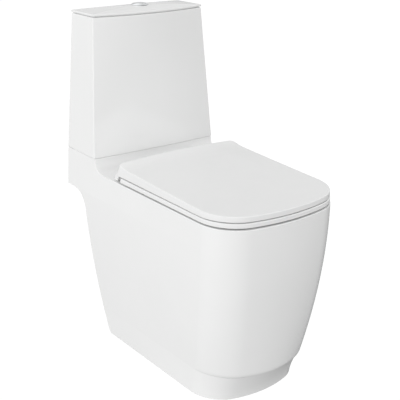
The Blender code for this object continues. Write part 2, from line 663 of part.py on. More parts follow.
def make_flush_valve_base():
    centre = at(0, VALVE_DEPTH, 0)
    gasket_top = INSIDE_Z + 0.0030
    profile = [(0.0255, 0.4760), (0.0290, 0.4760), (0.0290, gasket_top), (0.0420, gasket_top)]
    profile += [(0.0420, gasket_top + 0.0055), (0.0305, gasket_top + 0.0055), (0.0295, SEAT_Z)]
    profile += [(0.0270, SEAT_Z), (0.0255, gasket_top + 0.0040)]
    new_object("flush_valve_base", turned(centre, profile, 24, closed=True), PLASTIC, centre)
    new_object("flush_valve_gasket", ring(centre, 0.0400, 0.0295, INSIDE_Z + GAP, gasket_top - GAP, 24),
               RUBBER, centre)
    new_object("flush_valve_washer", ring(centre, 0.0420, 0.0295, 0.5009, UNDERSIDE_Z - GAP, 24), RUBBER, centre)
    new_object("flush_valve_nut", ring(centre, 0.0395, 0.0295, 0.4845, 0.4982, 24), PLASTIC, centre)
    doughnut = [(0.0300, 0.4704), (0.0405, 0.4704), (0.0420, 0.4740), (0.0410, 0.4835), (0.0300, 0.4835)]
    new_object("coupling_gasket", turned(centre, doughnut, 24, closed=True), RUBBER, centre)


def make_flush_valve_tower():
    centre = at(0, VALVE_DEPTH, 0)
    foot = INSIDE_Z + 0.0030 + 0.0055 + GAP
    top = 0.6960
    tower = new_object("flush_valve_tower", ring(centre, 0.0400, 0.0372, foot, top, 28), PLASTIC, centre)
    depth = VALVE_DEPTH
    cut(tower, box(-0.06, 0.06, depth - 0.012, depth + 0.012, foot + 0.006, foot + 0.040))
    cut(tower, box(-0.012, 0.012, depth - 0.06, depth + 0.06, foot + 0.006, foot + 0.040))
    for side in (-1, 1):
        x = side * ROCKER_X
        for face in (-1, 1):
            near, far = sorted((depth + face * 0.0300, depth + face * 0.0350))
            add(tower, box(x - 0.0045, x + 0.0045, near, far, top - 0.012, ROCKER_Z + 0.0050))
            cut(tower, rod(at(x, depth, ROCKER_Z), 0.0023, -0.0365, 0.0365, 10, "Y"))


def make_canister(lift):
    """The part that lifts: overflow pipe, float chamber and the two hooks that the rockers pull."""
    centre = at(0, VALVE_DEPTH, 0)
    profile = [(0.0205, CANISTER_FOOT), (0.0340, CANISTER_FOOT), (0.0340, CANISTER_FOOT + 0.0040)]
    profile += [(0.0235, CANISTER_FOOT + 0.0080), (0.0235, 0.575), (0.0330, 0.582), (0.0330, 0.630)]
    profile += [(0.0235, 0.637), (0.0235, OVERFLOW_TOP), (0.0205, OVERFLOW_TOP)]
    canister = new_object("flush_valve_canister", turned(centre, profile, 24, closed=True), BLUE_PLASTIC,
                          lift.location, lift)
    hook_top = 0.7235
    for side in (-1, 1):
        root = sorted((side * 0.0212, side * 0.0335))
        cheek = sorted((side * 0.0255, side * 0.0335))
        bridge = sorted((side * 0.0295, side * 0.0335))
        for face in (-1, 1):
            near, far = sorted((VALVE_DEPTH + face * 0.0045, VALVE_DEPTH + face * 0.0075))
            add(canister, box(*root, near, far, 0.688, 0.7000), box(*cheek, near, far, 0.6980, hook_top))
        add(canister, box(*bridge, VALVE_DEPTH - 0.0060, VALVE_DEPTH + 0.0060, hook_top - 0.003, hook_top))
    new_object("flush_valve_seal", ring(centre, 0.0325, 0.0208, SEAT_Z + GAP, CANISTER_FOOT - GAP, 24),
               SILICONE, lift.location, lift)


def make_rocker(name, side, pivot):
    """A straight lever on a cross pin: the push rod presses its inner end, the outer end lifts."""
    x0, x1 = sorted((side * 0.0030, side * 0.0320))
    rocker = new_object(f"flush_rocker_{name}", box(x0, x1, VALVE_DEPTH - 0.0035, VALVE_DEPTH + 0.0070,
                                                    ROCKER_Z - 0.0022, ROCKER_Z + 0.0022),
                        PLASTIC, pivot.location, pivot)
    cut(rocker, box(*sorted((side * 0.0150, side * 0.0400)), VALVE_DEPTH + 0.0035, VALVE_DEPTH + 0.0080,
                    ROCKER_Z - 0.004, ROCKER_Z + 0.004))
    add(rocker, rod(at(side * ROCKER_X, VALVE_DEPTH, ROCKER_Z), 0.0020, -0.0350, 0.0350, 10, "Y"))


# ---------------------------------------------------------------- close coupling kit
def make_coupling_plate():
    plate = new_object("coupling_plate", box(-0.098, 0.098, VALVE_DEPTH - 0.040, VALVE_DEPTH + 0.040,
                                             0.4985, 0.5006), STEEL, at(0, VALVE_DEPTH, 0.4985))
    cut(plate, rod(at(0, VALVE_DEPTH, 0), 0.0300, 0.49, 0.51, 24))
    for side in (-1, 1):
        cut(plate, rod(at(side * BOLT_X, VALVE_DEPTH, 0), 0.0042, 0.49, 0.51, 12))
        for face in (-1, 1):
            near, far = sorted((VALVE_DEPTH + face * 0.016, VALVE_DEPTH + face * 0.060))
            cut(plate, box(*sorted((side * 0.052, side * 0.12)), near, far, 0.49, 0.51))


def make_coupling_bolt(name, side):
    centre = at(side * BOLT_X, VALVE_DEPTH, 0)
    underside = SHELF_Z - 0.015
    profile = [(0.0038, underside - 0.038), (0.0038, 0.5009), (0.0085, 0.5009), (0.0085, 0.5020), (0.0060, 0.5033)]
    new_object(f"coupling_bolt_{name}", turned(centre, profile, 12), STEEL, centre)
    new_object(f"coupling_washer_{name}", ring(centre, 0.0120, 0.0041, underside - 0.0035, underside - GAP, 14),
               RUBBER, centre)
    make_wing_nut(f"coupling_nut_{name}", centre, underside - 0.0038, 0.0041, 0.0090, 0.020, STEEL)


# ---------------------------------------------------------------- fill valve
LEVER_Z = 0.7480
LEVER_ARM = 0.0345
LEVER_X = FILL_X + 0.0120


def make_fill_valve():
    centre = at(FILL_X, FILL_DEPTH, 0)
    flange = INSIDE_Z + 0.0030
    profile = [(0.0075, 0.4400), (0.0102, 0.4400), (0.0102, flange), (0.0195, flange), (0.0195, flange + 0.0035)]
    profile += [(0.0120, flange + 0.0060), (0.0120, 0.7000), (0.0085, 0.7000), (0.0085, 0.4500)]
    new_object("fill_valve_body", turned(centre, profile, 20, closed=True), PLASTIC, centre)
    new_object("fill_valve_washer", ring(centre, 0.0185, 0.0106, INSIDE_Z + GAP, flange - GAP, 20), RUBBER, centre)
    new_object("fill_valve_nut", ring(centre, 0.0170, 0.0107, 0.4880, UNDERSIDE_Z - GAP, 20), PLASTIC, centre)
    head_profile = [(0.0175, 0.7003), (0.0185, 0.7030), (0.0185, 0.7340), (0.0165, 0.7400)]
    head = new_object("fill_valve_head", turned(centre, head_profile, 20), BLUE_PLASTIC, centre)
    for face in (-1, 1):
        near, far = sorted((FILL_DEPTH + face * 0.0042, FILL_DEPTH + face * 0.0072))
        add(head, box(LEVER_X - 0.0045, LEVER_X + 0.0025, near, far, 0.7380, LEVER_Z + 0.0035))
    cut(head, rod(at(LEVER_X - 0.001, FILL_DEPTH, LEVER_Z), 0.0018, -0.010, 0.010, 10, "Y"))


def make_float(slide):
    centre = at(FILL_X, FILL_DEPTH, 0)
    profile = [(0.0245, 0.600), (0.0260, 0.600), (0.0260, 0.660), (0.0250, 0.662), (0.0135, 0.662)]
    profile += [(0.0135, 0.600), (0.0150, 0.600), (0.0150, 0.6595), (0.0245, 0.6595)]
    new_object("float_cup", turned(centre, profile, 20, closed=True), PLASTIC, slide.location, slide)
    stem = at(FILL_X - 0.0225, FILL_DEPTH, 0)
    profile = [(0.0030, 0.6623), (0.0030, 0.6660), (0.0018, 0.6670), (0.0018, LEVER_Z - 0.0022)]
    new_object("float_rod", turned(stem, profile, 10), STEEL, slide.location, slide)


def make_float_lever(pivot):
    lever = new_object("float_lever", box(FILL_X - 0.0262, LEVER_X + 0.0030, FILL_DEPTH - 0.0036, FILL_DEPTH + 0.0036,
                                          LEVER_Z - 0.0018, LEVER_Z + 0.0018), PLASTIC, pivot.location, pivot)
    add(lever, rod(at(LEVER_X - 0.001, FILL_DEPTH, LEVER_Z), 0.0015, -0.0070, 0.0070, 10, "Y"))


# ---------------------------------------------------------------- assembly
def build():
    clear_scene()
    make_pan()
    make_cistern()
    lid_lift = empty("lid_lift_axis", at(0, BUTTON_DEPTH, LID_Z0))
    make_lid(lid_lift)
    make_button_housing(lid_lift)
    for name, side in (("full", 1), ("half", -1)):
        press = empty(f"press_axis_{name}", at(side * ROD_X, BUTTON_DEPTH, BUTTON_TOP))
        make_button(name, side, press)
        make_button_spring(name, side, lid_lift)
        make_rocker(name, side, empty(f"rocker_axis_{name}", at(side * ROCKER_X, VALVE_DEPTH, ROCKER_Z)))
    ring_hinge = empty("ring_hinge_axis", at(0, HINGE_DEPTH, HINGE_Z))
    cover_hinge = empty("cover_hinge_axis", at(0, HINGE_DEPTH, HINGE_Z))
    make_seat_ring(ring_hinge)
    make_ring_buffers(ring_hinge)
    make_seat_cover(cover_hinge)
    make_cover_buffers(cover_hinge)
    for name, side in (("left", -1), ("right", 1)):
        make_hinge_hardware(name, side)
        make_coupling_bolt(name, side)
    make_coupling_plate()
    make_flush_valve_base()
    make_flush_valve_tower()
    make_canister(empty("canister_lift_axis", at(0, VALVE_DEPTH, SEAT_Z)))
    make_fill_valve()
    make_float(empty("float_slide_axis", at(FILL_X, FILL_DEPTH, 0.600)))
    make_float_lever(empty("float_lever_axis", at(LEVER_X - 0.001, FILL_DEPTH, LEVER_Z)))


build()
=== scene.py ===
"""Looks of the close coupled toilet: glazed ceramic, seat, push button, floor, light and camera.

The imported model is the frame. The ceramic, the seat and the push button are rebuilt here at a fine
resolution with rounded edges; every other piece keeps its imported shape, with softened edges and a
procedural material. Metres, +Z up. X runs across the toilet, -Y is the front, and depths are measured
forward from the wall plane behind it.
"""

import json
import math

import bmesh
import bpy
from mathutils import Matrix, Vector


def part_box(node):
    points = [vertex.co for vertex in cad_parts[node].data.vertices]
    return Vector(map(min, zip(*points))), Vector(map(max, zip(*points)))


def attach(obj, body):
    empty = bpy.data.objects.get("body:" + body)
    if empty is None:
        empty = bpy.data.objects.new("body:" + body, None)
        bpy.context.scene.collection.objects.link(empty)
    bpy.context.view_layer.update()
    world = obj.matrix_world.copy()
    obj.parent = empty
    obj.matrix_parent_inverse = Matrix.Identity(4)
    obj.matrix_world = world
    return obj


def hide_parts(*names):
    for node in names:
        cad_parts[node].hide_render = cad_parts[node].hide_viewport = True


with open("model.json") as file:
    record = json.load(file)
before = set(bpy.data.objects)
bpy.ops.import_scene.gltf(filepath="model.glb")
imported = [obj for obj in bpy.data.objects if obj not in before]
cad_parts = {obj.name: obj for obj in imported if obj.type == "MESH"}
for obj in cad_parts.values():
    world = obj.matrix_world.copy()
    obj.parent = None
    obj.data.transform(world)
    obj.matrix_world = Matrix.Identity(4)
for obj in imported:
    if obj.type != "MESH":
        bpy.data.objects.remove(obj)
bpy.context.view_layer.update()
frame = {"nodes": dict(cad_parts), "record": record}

# ---- sizes read from the frame
GAP = 0.0003             # clearance between neighbouring pieces
PAN_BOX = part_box("pan")
CISTERN_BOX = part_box("cistern")
LID_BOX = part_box("cistern_lid")
PIN_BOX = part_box("hinge_pin_right")
BEZEL_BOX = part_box("button_housing")
BUTTON_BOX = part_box("button_full")

WALL_Y = PAN_BOX[1].y
SHELF_Z = PAN_BOX[1].z
RIM_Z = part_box("hinge_post_left")[0].z - GAP
CISTERN_Z0 = CISTERN_BOX[0].z
CISTERN_Z1 = CISTERN_BOX[1].z
HINGE_Z = (PIN_BOX[0].z + PIN_BOX[1].z) / 2
HINGE_DEPTH = WALL_Y - (PIN_BOX[0].y + PIN_BOX[1].y) / 2
BUTTON_DEPTH = WALL_Y - (BEZEL_BOX[0].y + BEZEL_BOX[1].y) / 2

# ---- driving dimensions
SHELF_BOTTOM_Z = 0.3995  # where the shelf's side ends above the pipe space
SHELF_FRONT = 0.1385     # depth of its front edge, where the ramp begins
PLINTH_Z = 0.0756        # height of the step above the plinth
WALL = 0.012             # thickness of the pan's walls
PAN_EDGE = 0.0016        # radius along the ramp, the deck and the nose
SHELF_EDGE = 0.0012      # radius along the pan's rear edges and the shelf
# Plans: half width at the wall and at the front, depth of the nose, its bow, and the run of the corners.
FLOOR_PLAN = {"wall_half": 0.1565, "front_half": 0.1405, "front": 0.5922, "bow": 0.0376, "corner": 0.060}
STEP_PLAN = {"wall_half": 0.1640, "front_half": 0.1450, "front": 0.6340, "bow": 0.0560, "corner": 0.062}
RIM_PLAN = {"wall_half": 0.1806, "front_half": 0.1698, "front": 0.6750, "bow": 0.0350, "corner": 0.070}
RIM_SWELL = 1.05         # share of the way from the step's plan to the rim's plan that the rim reaches
STEP_RECESS = 0.0050     # how far the plinth's top stands behind the body's lower edge, at the nose
UNDERCUT = 0.0022        # how far the body's lower edge is rounded in
SHELF_HALF = 0.1813      # half width of the shelf at its top
SHELF_LOW_HALF = 0.1876  # and at its low corner
SHELF_ROUND = 0.0040     # radius of the shelf's back edge, seen from the side
LEG_TOP_Z = 0.337        # top of the rear legs, where the hollow curve out to the shelf begins
LEG_FOOT_DEPTH = 0.1350  # depth of the legs' rear edge at the floor
LEG_TOP_DEPTH = 0.0852   # and at their top
BEHIND = -0.03           # a depth behind the wall plane, for cuts that are open at the back

CISTERN_LOW = {"half": 0.1813, "back": 0.0, "front": 0.1380, "bulge": 0.0040}
CISTERN_HIGH = {"half": 0.1592, "back": 0.0150, "front": 0.1200, "bulge": 0.0230}
CISTERN_WALL = 0.009
CISTERN_FLOOR = 0.0100
FOOT_RECESS = 0.0060     # height of the hollow under the cistern
CISTERN_CORNER = 0.0026  # size of the rounding of the cistern's upright edges
LID_Z0 = 0.8443          # underside of the lid's edge
LID_EDGE = 0.0048        # height of the edge
LID_CROWN = 0.0070       # rise of the middle above it

RING_Z0 = 0.4675         # lower and upper face of the seat ring
RING_Z1 = 0.4785
RING_PLAN = {"wall_half": 0.1812, "front_half": 0.1710, "front": 0.6752, "bow": 0.0348, "corner": 0.069}
COVER_PLAN = {"wall_half": 0.1765, "front_half": 0.1718, "front": 0.6743, "bow": 0.0358, "corner": 0.070}
SEAT_BACK = 0.2525       # depth of the ring's rear edge
COVER_Z0 = 0.4805        # lower edge of the seat cover
FOOT_DEPTH = 0.2182      # depth and height of the seat cover's rear foot
FOOT_Z = 0.4667
REAR_SLOPE = 0.543       # the cover's rear face leans forward by this much for its height

VALVE_DEPTH = 0.074      # depth of the flush valve and the coupling bolts
FILL_X = 0.118           # place of the fill valve
FILL_DEPTH = 0.070
BOLT_X = 0.080           # half the distance between the coupling bolts
HINGE_X = 0.078          # and between the seat's fixings
PIN_R = 0.0050           # radius of the hinge pins
LUG_R = 0.0085           # and of the lugs round them

CAMERA_PLACE = (-1.1589, 1.9401, 1.1406)  # across, forward from the wall, up
CAMERA_TURN = -35.85     # degrees, about the upright axis
CAMERA_DIP = 20.26       # degrees below level
CAMERA_LENS = 77.12      # millimetres, on a sensor of this width:
CAMERA_SENSOR = 36.0

FLOOR_HALF = 30.0
FLOOR_BASE = 0.10        # shade of the floor in the room's light
FLOOR_GLOW = 0.95        # its own even brightness
DOME_FLOOR = 0.27        # brightness of the studio below the horizon
DOME_HORIZON = 1.50      # just above the horizon
DOME_TOP = 0.56          # straight above
DOME_LEFT = 0.60         # added towards the left
DOME_REAR = 0.36         # share left towards the wall


# ---- small helpers
def at(x, depth, z):
    """A point given across, forward from the wall, and up."""
    return Vector((x, WALL_Y - depth, z))


def mix(a, b, t):
    """The value that lies the share t of the way from a to b."""
    return a + (b - a) * t


def clamp(t):
    """t held between 0 and 1."""
    return min(max(t, 0.0), 1.0)


def steps(start, end, count):
    """count + 1 evenly spaced values from start to end."""
    return [mix(start, end, i / count) for i in range(count + 1)]


def cubic(p0, p1, p2, p3, t):
    """The point at t on a cubic curve from p0 to p3, pulled towards p1 and p2."""
    s = 1.0 - t
    return tuple(s**3 * a + 3 * s * s * t * b + 3 * s * t * t * c + t**3 * d
                 for a, b, c, d in zip(p0, p1, p2, p3))


def smooth_path(points, per_span):
    """A smooth curve through points of any dimension, by the Catmull-Rom rule."""
    ends = [points[0]] + list(points) + [points[-1]]
    path = []
    for i in range(len(points) - 1):
        a, b, c, d = ends[i:i + 4]
        for k in range(per_span):
            t = k / per_span
            path.append(tuple(0.5 * (2 * q + (r - p) * t + (2 * p - 5 * q + 4 * r - s) * t * t
                                     + (3 * q - p - 3 * r + s) * t**3)
                              for p, q, r, s in zip(a, b, c, d)))
    path.append(tuple(points[-1]))
    return path


def arc(centre, radius, start, end, count):
    """Points of an arc in a plane; angles in degrees from the first axis towards the second."""
    return [(centre[0] + radius * math.cos(math.radians(a)), centre[1] + radius * math.sin(math.radians(a)))
            for a in steps(start, end, count)]


# ---- mesh building
CUT, JOIN = "DIFFERENCE", "UNION"


def add_grid(mesh_data, rows, closed=False):
    """Faces between rows of points; closed joins each row's end to its start."""
    placed = [[mesh_data.verts.new(p) for p in row] for row in rows]
    count = len(placed[0])
    for low, high in zip(placed, placed[1:]):
        for i in range(count if closed else count - 1):
            j = (i + 1) % count
            mesh_data.faces.new((low[i], low[j], high[j], high[i]))
    return placed


def loft(rings, join_ends=False):
    """A solid through closed rings of points, capped at both ends or joined into a ring."""
    mesh_data = bmesh.new()
    placed = add_grid(mesh_data, rings + [rings[0]] if join_ends else rings, closed=True)
    if join_ends:
        bmesh.ops.remove_doubles(mesh_data, verts=placed[0] + placed[-1], dist=1e-7)
    else:
        mesh_data.faces.new(placed[0])
        mesh_data.faces.new(placed[-1])
    return mesh_data


def tidy(mesh_data):
    """Weld doubled points, drop faces of no size, and turn every face outward."""
    bmesh.ops.remove_doubles(mesh_data, verts=mesh_data.verts, dist=2e-6)
    bmesh.ops.dissolve_degenerate(mesh_data, edges=mesh_data.edges, dist=1e-6)
    bmesh.ops.recalc_face_normals(mesh_data, faces=mesh_data.faces)
    return mesh_data


def circle(centre, radius, segments, axis="Z"):
    """Points of a circle round the upright axis or the one across."""
    points = []
    for i in range(segments):
        a = 2.0 * math.pi * (i + 0.5) / segments
        u, v = radius * math.cos(a), radius * math.sin(a)
        points.append(centre + Vector({"Z": (u, v, 0.0), "X": (0.0, u, v)}[axis]))
    return points


def turned(centre, profile, segments=64, closed=False):
    """A body turned about an upright axis through centre, from (radius, height) points."""
    rings = [circle(centre + Vector((0.0, 0.0, z)), r, segments) for r, z in profile]
    return loft(rings, closed)


def rod(centre, radius, low, high, segments=40):
    """An upright cylinder."""
    return turned(centre, [(radius, low), (radius, high)], segments)


def drill(x, depth, radius, top, segments=24):
    """The form of a round hole down through a face at the height top."""
    return rod(at(x, depth, 0.0), radius, top - 0.03, top + 0.01, segments)


def pin_bore(x0, x1):
    """The form of the hole round a hinge pin, between two places across."""
    return loft([circle(at(x, HINGE_DEPTH, HINGE_Z), PIN_R + GAP, 40, "X") for x in (x0, x1)])


def prism(profile, x0, x1):
    """A side profile of (depth, z) points pushed across from x0 to x1."""
    return loft([[at(x, d, z) for d, z in profile] for x in (x0, x1)])


def box(x0, x1, d0, d1, z0, z1):
    """A block between two places across, two depths and two heights."""
    return prism([(d0, z0), (d1, z0), (d1, z1), (d0, z1)], x0, x1)


def add_object(name, mesh_data):
    """A new object in the scene from mesh data, which is used up."""
    mesh = bpy.data.meshes.new(name)
    mesh_data.to_mesh(mesh)
    mesh_data.free()
    placed = bpy.data.objects.new(name, mesh)
    bpy.context.scene.collection.objects.link(placed)
    return placed


def make_piece(name, mesh_data, work=(), sharp=32.0):
    """An object from a mesh and a list of (operation, mesh) Boolean steps, baked into one mesh."""
    piece = add_object(name, tidy(mesh_data))
    tools = []
    for operation, other in work:
        modifier = piece.modifiers.new(operation, "BOOLEAN")
        modifier.operation = operation
        modifier.solver = "EXACT"
        modifier.object = add_object("tool", tidy(other))
        tools.append(modifier.object)
    if tools:
        bpy.context.view_layer.update()
        shape = piece.evaluated_get(bpy.context.evaluated_depsgraph_get())
        baked = bpy.data.meshes.new_from_object(shape)
        piece.modifiers.clear()
        piece.data = baked
        baked.name = name
        for tool in tools:
            bpy.data.objects.remove(tool, do_unlink=True)
    piece.data.shade_smooth()
    piece.data.set_sharp_from_angle(angle=math.radians(sharp))
    weighted = piece.modifiers.new("even_shading", "WEIGHTED_NORMAL")
    weighted.keep_sharp = True
    weighted.weight = 80
    return piece


# ---- plan outlines
def outline_point(shape, back, s):
    """(x, depth) on half a plan outline: s runs 0-1 along the side, 1-2 round the corner, 2-3 to the nose."""
    half, front, bow, corner = shape["front_half"], shape["front"], shape["bow"], shape["corner"]
    square = front - bow
    slope = (shape["wall_half"] - half) / square
    start = (half + slope * corner, square - corner)
    if s <= 1.0:
        depth = mix(back, start[1], s)
        return shape["wall_half"] - slope * depth, depth
    run = half - corner
    if s > 2.0:
        x = run * (3.0 - s)
        return x, front - bow * (x / half) ** 2
    end = (run, front - bow * (run / half) ** 2)
    lean = 2.0 * bow * run / half**2
    pull = 0.60 * corner
    return cubic(start, (start[0] - slope * pull, start[1] + pull), (end[0] + pull, end[1] - lean * pull),
                 end, s - 1.0)


def drawn_in(shape, amount):
    """The same outline moved in by a distance."""
    return dict(shape, wall_half=shape["wall_half"] - amount, front_half=shape["front_half"] - amount,
                front=shape["front"] - amount)


def side_end(shape):
    """Depth at which the straight side of a plan outline ends and its corner begins."""
    return shape["front"] - shape["bow"] - shape["corner"]


# Places along half a plan outline, as outline_point counts them.
STATIONS = steps(0.0, 1.0, 22) + steps(1.0, 2.0, 22)[1:] + steps(2.0, 3.0, 14)[1:]


def outline(shape, back, z, rear_round=0.0):
    """A whole closed outline at a height, which may be a function of depth; rear_round rounds its back."""
    across = 8
    half = [outline_point(shape, back + rear_round, s) for s in STATIONS]
    if rear_round > 0.0:
        x0 = half[0][0]
        half = [(x0 - rear_round * (1 - math.sin(a)), back + rear_round * (1 - math.cos(a)))
                for a in steps(0.0, math.pi / 2, 6)[:-1]] + half
    inner = half[0][0]
    rear = [(inner * i / across, half[0][1]) for i in range(across)]
    whole = rear + half
    whole += [(-x, d) for x, d in reversed(whole[1:-1])]
    return [at(x, d, z(d) if callable(z) else z) for x, d in whole]


# ---- pan
def body_half_at_wall(z):
    """The pan's half width at the wall: widest at the shelf's low corner, and less below and above it."""
    if z >= SHELF_BOTTOM_Z:
        return mix(SHELF_LOW_HALF, SHELF_HALF, (z - SHELF_BOTTOM_Z) / (SHELF_Z - SHELF_BOTTOM_Z))
    return mix(FLOOR_PLAN["wall_half"], SHELF_LOW_HALF, 1.0 - (1.0 - z / SHELF_BOTTOM_Z) ** 1.6)


def pan_shape(z):
    """The pan's plan at a height: rounded foot, recessed plinth, and a body with a rounded lower edge."""
    tuck_height, lower_edge = 0.0030, 0.0100
    foot_height, foot_inset = 0.0015, 0.0005
    above_floor = max(z, 0.0)
    if z < PLINTH_Z:
        rise = above_floor / PLINTH_Z
        shape = {key: mix(FLOOR_PLAN[key], STEP_PLAN[key], rise**1.3) for key in STEP_PLAN}
        tuck = max(0.0, 1.0 - (PLINTH_Z - z) / tuck_height)
        shape["front"] -= mix(STEP_RECESS * rise, UNDERCUT, tuck * tuck)
    else:
        height = min((z - PLINTH_Z) / (RIM_Z - PLINTH_Z), 1.0)
        swell = RIM_SWELL * (1.0 - (1.0 - height) ** 1.9)
        shape = {key: mix(STEP_PLAN[key], RIM_PLAN[key], swell) for key in STEP_PLAN}
        shape["front"] -= UNDERCUT * max(0.0, 1.0 - (z - PLINTH_Z) / lower_edge) ** 2
    shape["wall_half"] = body_half_at_wall(above_floor)
    foot = max(0.0, 1.0 - above_floor / foot_height)
    return drawn_in(shape, foot_inset * foot * foot)


def body_back(z):
    """Depth of the pan's rear edge: legs below, then a hollow curve out to the shelf's corner."""
    if z <= LEG_TOP_Z:
        return mix(LEG_FOOT_DEPTH, LEG_TOP_DEPTH, (z / LEG_TOP_Z) ** 0.65)
    rise = min((z - LEG_TOP_Z) / (SHELF_BOTTOM_Z - LEG_TOP_Z), 1.0)
    return LEG_TOP_DEPTH * (1.0 - rise**2.2) ** 0.25


def side_x(depth, z):
    """Half width of the pan's flat side at a depth and height."""
    shape = pan_shape(z)
    slope = (shape["wall_half"] - shape["front_half"]) / (shape["front"] - shape["bow"])
    return shape["wall_half"] - slope * depth


def pan_rows():
    """Heights of the pan's wall, closer together at the foot, the step and the shelf's low corner."""
    heights = [0.0, 0.0003, 0.0008, 0.0015, 0.012, 0.030, 0.050, 0.064]
    heights += [PLINTH_Z + offset for offset in (-0.0045, -0.0030, -0.0022, -0.0015, -0.0007, 0.0)]
    heights += [PLINTH_Z + offset for offset in (0.0010, 0.0025, 0.0045, 0.0070, 0.0100, 0.0160)]
    heights += steps(0.105, LEG_TOP_Z, 16)
    heights += [mix(LEG_TOP_Z, SHELF_BOTTOM_Z, t)
                for t in (0.2, 0.38, 0.53, 0.66, 0.77, 0.86, 0.93, 0.97, 0.99, 1.0)]
    return heights


def top_profile():
    """Side view of the pan's top: from the shelf's back edge forward, down the ramp and along the deck."""
    lip = 0.0022
    ramp_top = SHELF_Z - 0.0050
    ramp_end = SHELF_FRONT + 0.056
    profile = arc((SHELF_ROUND, SHELF_Z - SHELF_ROUND), SHELF_ROUND, 180.0, 90.0, 5)
    profile += [(depth, SHELF_Z) for depth in steps(0.020, 0.130, 6)]
    profile += arc((SHELF_FRONT - lip, SHELF_Z - lip), lip, 90.0, 0.0, 5)
    for t in steps(0.0, 1.0, 18):
        profile.append(cubic((SHELF_FRONT, ramp_top), (SHELF_FRONT + 0.002, RIM_Z + 0.008),
                             (SHELF_FRONT + 0.012, RIM_Z), (ramp_end, RIM_Z), t))
    profile += [(depth, RIM_Z) for depth in steps(ramp_end, side_end(pan_shape(RIM_Z)), 16)[1:]]
    return profile


def offset_normals(points):
    """At each point of a side-view line that runs forward over the top: the miter that moves it outward."""
    normals = []
    for i, point in enumerate(points):
        sides = []
        for a, b in ((points[max(i - 1, 0)], point), (point, points[min(i + 1, len(points) - 1)])):
            along = Vector((b[0] - a[0], b[1] - a[1]))
            if along.length > 1e-9:
                along.normalize()
                sides.append(Vector((-along.y, along.x)))
        middle = sum(sides, Vector((0.0, 0.0))).normalized()
        normals.append(middle / max(middle.dot(sides[0]), 0.5))
    return normals


def edge_radius(depth, rear):
    """Radius of the pan's edge: tight at the back and along the shelf, fuller from the ramp forward."""
    if rear:
        return SHELF_EDGE
    return mix(SHELF_EDGE, PAN_EDGE, clamp((depth - SHELF_FRONT + 0.004) / 0.012))


def pan_half():
    """The right half of the pan's outer skin: its wall, and the boundary along its rear and upper edges.

    Returns the wall as columns of points, and the boundary as (point on the wall, wall normal, edge miter).
    """
    heights = pan_rows()
    upright = [(0.0, z) for z in steps(SHELF_BOTTOM_Z, SHELF_Z - SHELF_ROUND, 5)[1:-1]]
    rear = [(body_back(z), z) for z in heights] + upright
    edge = rear + top_profile()
    miters = offset_normals(edge)
    miters = [Vector((-1.0, 0.0)) if z < LEG_TOP_Z else m for (_, z), m in zip(edge, miters)]
    radii = [edge_radius(depth, k < len(rear)) for k, (depth, _) in enumerate(edge)]
    miters = [m * radius for m, radius in zip(miters, radii)]
    inner = [Vector(p) - m for p, m in zip(edge, miters)]
    inner[0].y = 0.0
    rear_inner, top_inner = inner[:len(rear)], inner[len(rear):]
    first = top_inner[0]

    def on_side(p):
        """The point of the flat side at a (depth, z) place."""
        return at(side_x(p.x, p.y), p.x, p.y)

    def column_to(point_at, top_z):
        """A column of the wall, its rows above the shelf's low corner spread up to top_z."""
        points = []
        for k, rear_point in enumerate(rear_inner):
            if k < len(heights):
                z = heights[k]
            else:
                share = (rear[k][1] - SHELF_BOTTOM_Z) / (first.y - SHELF_BOTTOM_Z)
                z = mix(SHELF_BOTTOM_Z, top_z, share)
            points.append(point_at(z, rear_point))
        return points

    columns = [[on_side(p) for p in rear_inner + [first]]]
    boundary = [(on_side(p), side_normal(p.x, p.y), m) for p, m in zip(rear_inner, miters)]
    rim = pan_shape(RIM_Z)
    for p, m in zip(top_inner, miters[len(rear):]):
        across_side = (p.x - first.x) / (side_end(rim) - first.x)

        def side_point(z, rear_point, share=across_side):
            """The point of the side at a share of the way forward to the corner."""
            z = mix(rear_point.y, z, min(share * 8.0, 1.0))
            depth = mix(rear_point.x, side_end(pan_shape(z)), share)
            return at(side_x(depth, z), depth, z)

        columns.append(column_to(side_point, p.y) + [on_side(p)])
        boundary.append((on_side(p), side_normal(p.x, p.y), m))
    edge_z = RIM_Z - PAN_EDGE
    for s in steps(1.0, 2.0, 26)[1:] + steps(2.0, 3.0, 16)[1:]:
        def round_point(z, _, s=s):
            """The point of the corner or the nose at a height."""
            x, depth = outline_point(pan_shape(z), 0.0, s)
            return at(x, depth, z)

        end = round_point(edge_z, None)
        ahead = Vector(outline_point(rim, 0.0, min(s + 0.01, 3.0)))
        behind = Vector(outline_point(rim, 0.0, s - 0.01))
        along = (ahead - behind).normalized()
        if s > 2.995:
            along = Vector((-1.0, 0.0))
        columns.append(column_to(round_point, edge_z) + [end])
        boundary.append((end, Vector((along.y, along.x, 0.0)), Vector((0.0, PAN_EDGE))))
    return columns, boundary


def side_normal(depth, z):
    """Outward direction of the pan's right side, as a vector in the frame."""
    step = 0.001
    lean = (side_x(depth, z + step) - side_x(depth, z - step)) / (2 * step)
    taper = (side_x(depth + step, z) - side_x(depth - step, z)) / (2 * step)
    return Vector((1.0, taper, -lean)).normalized()


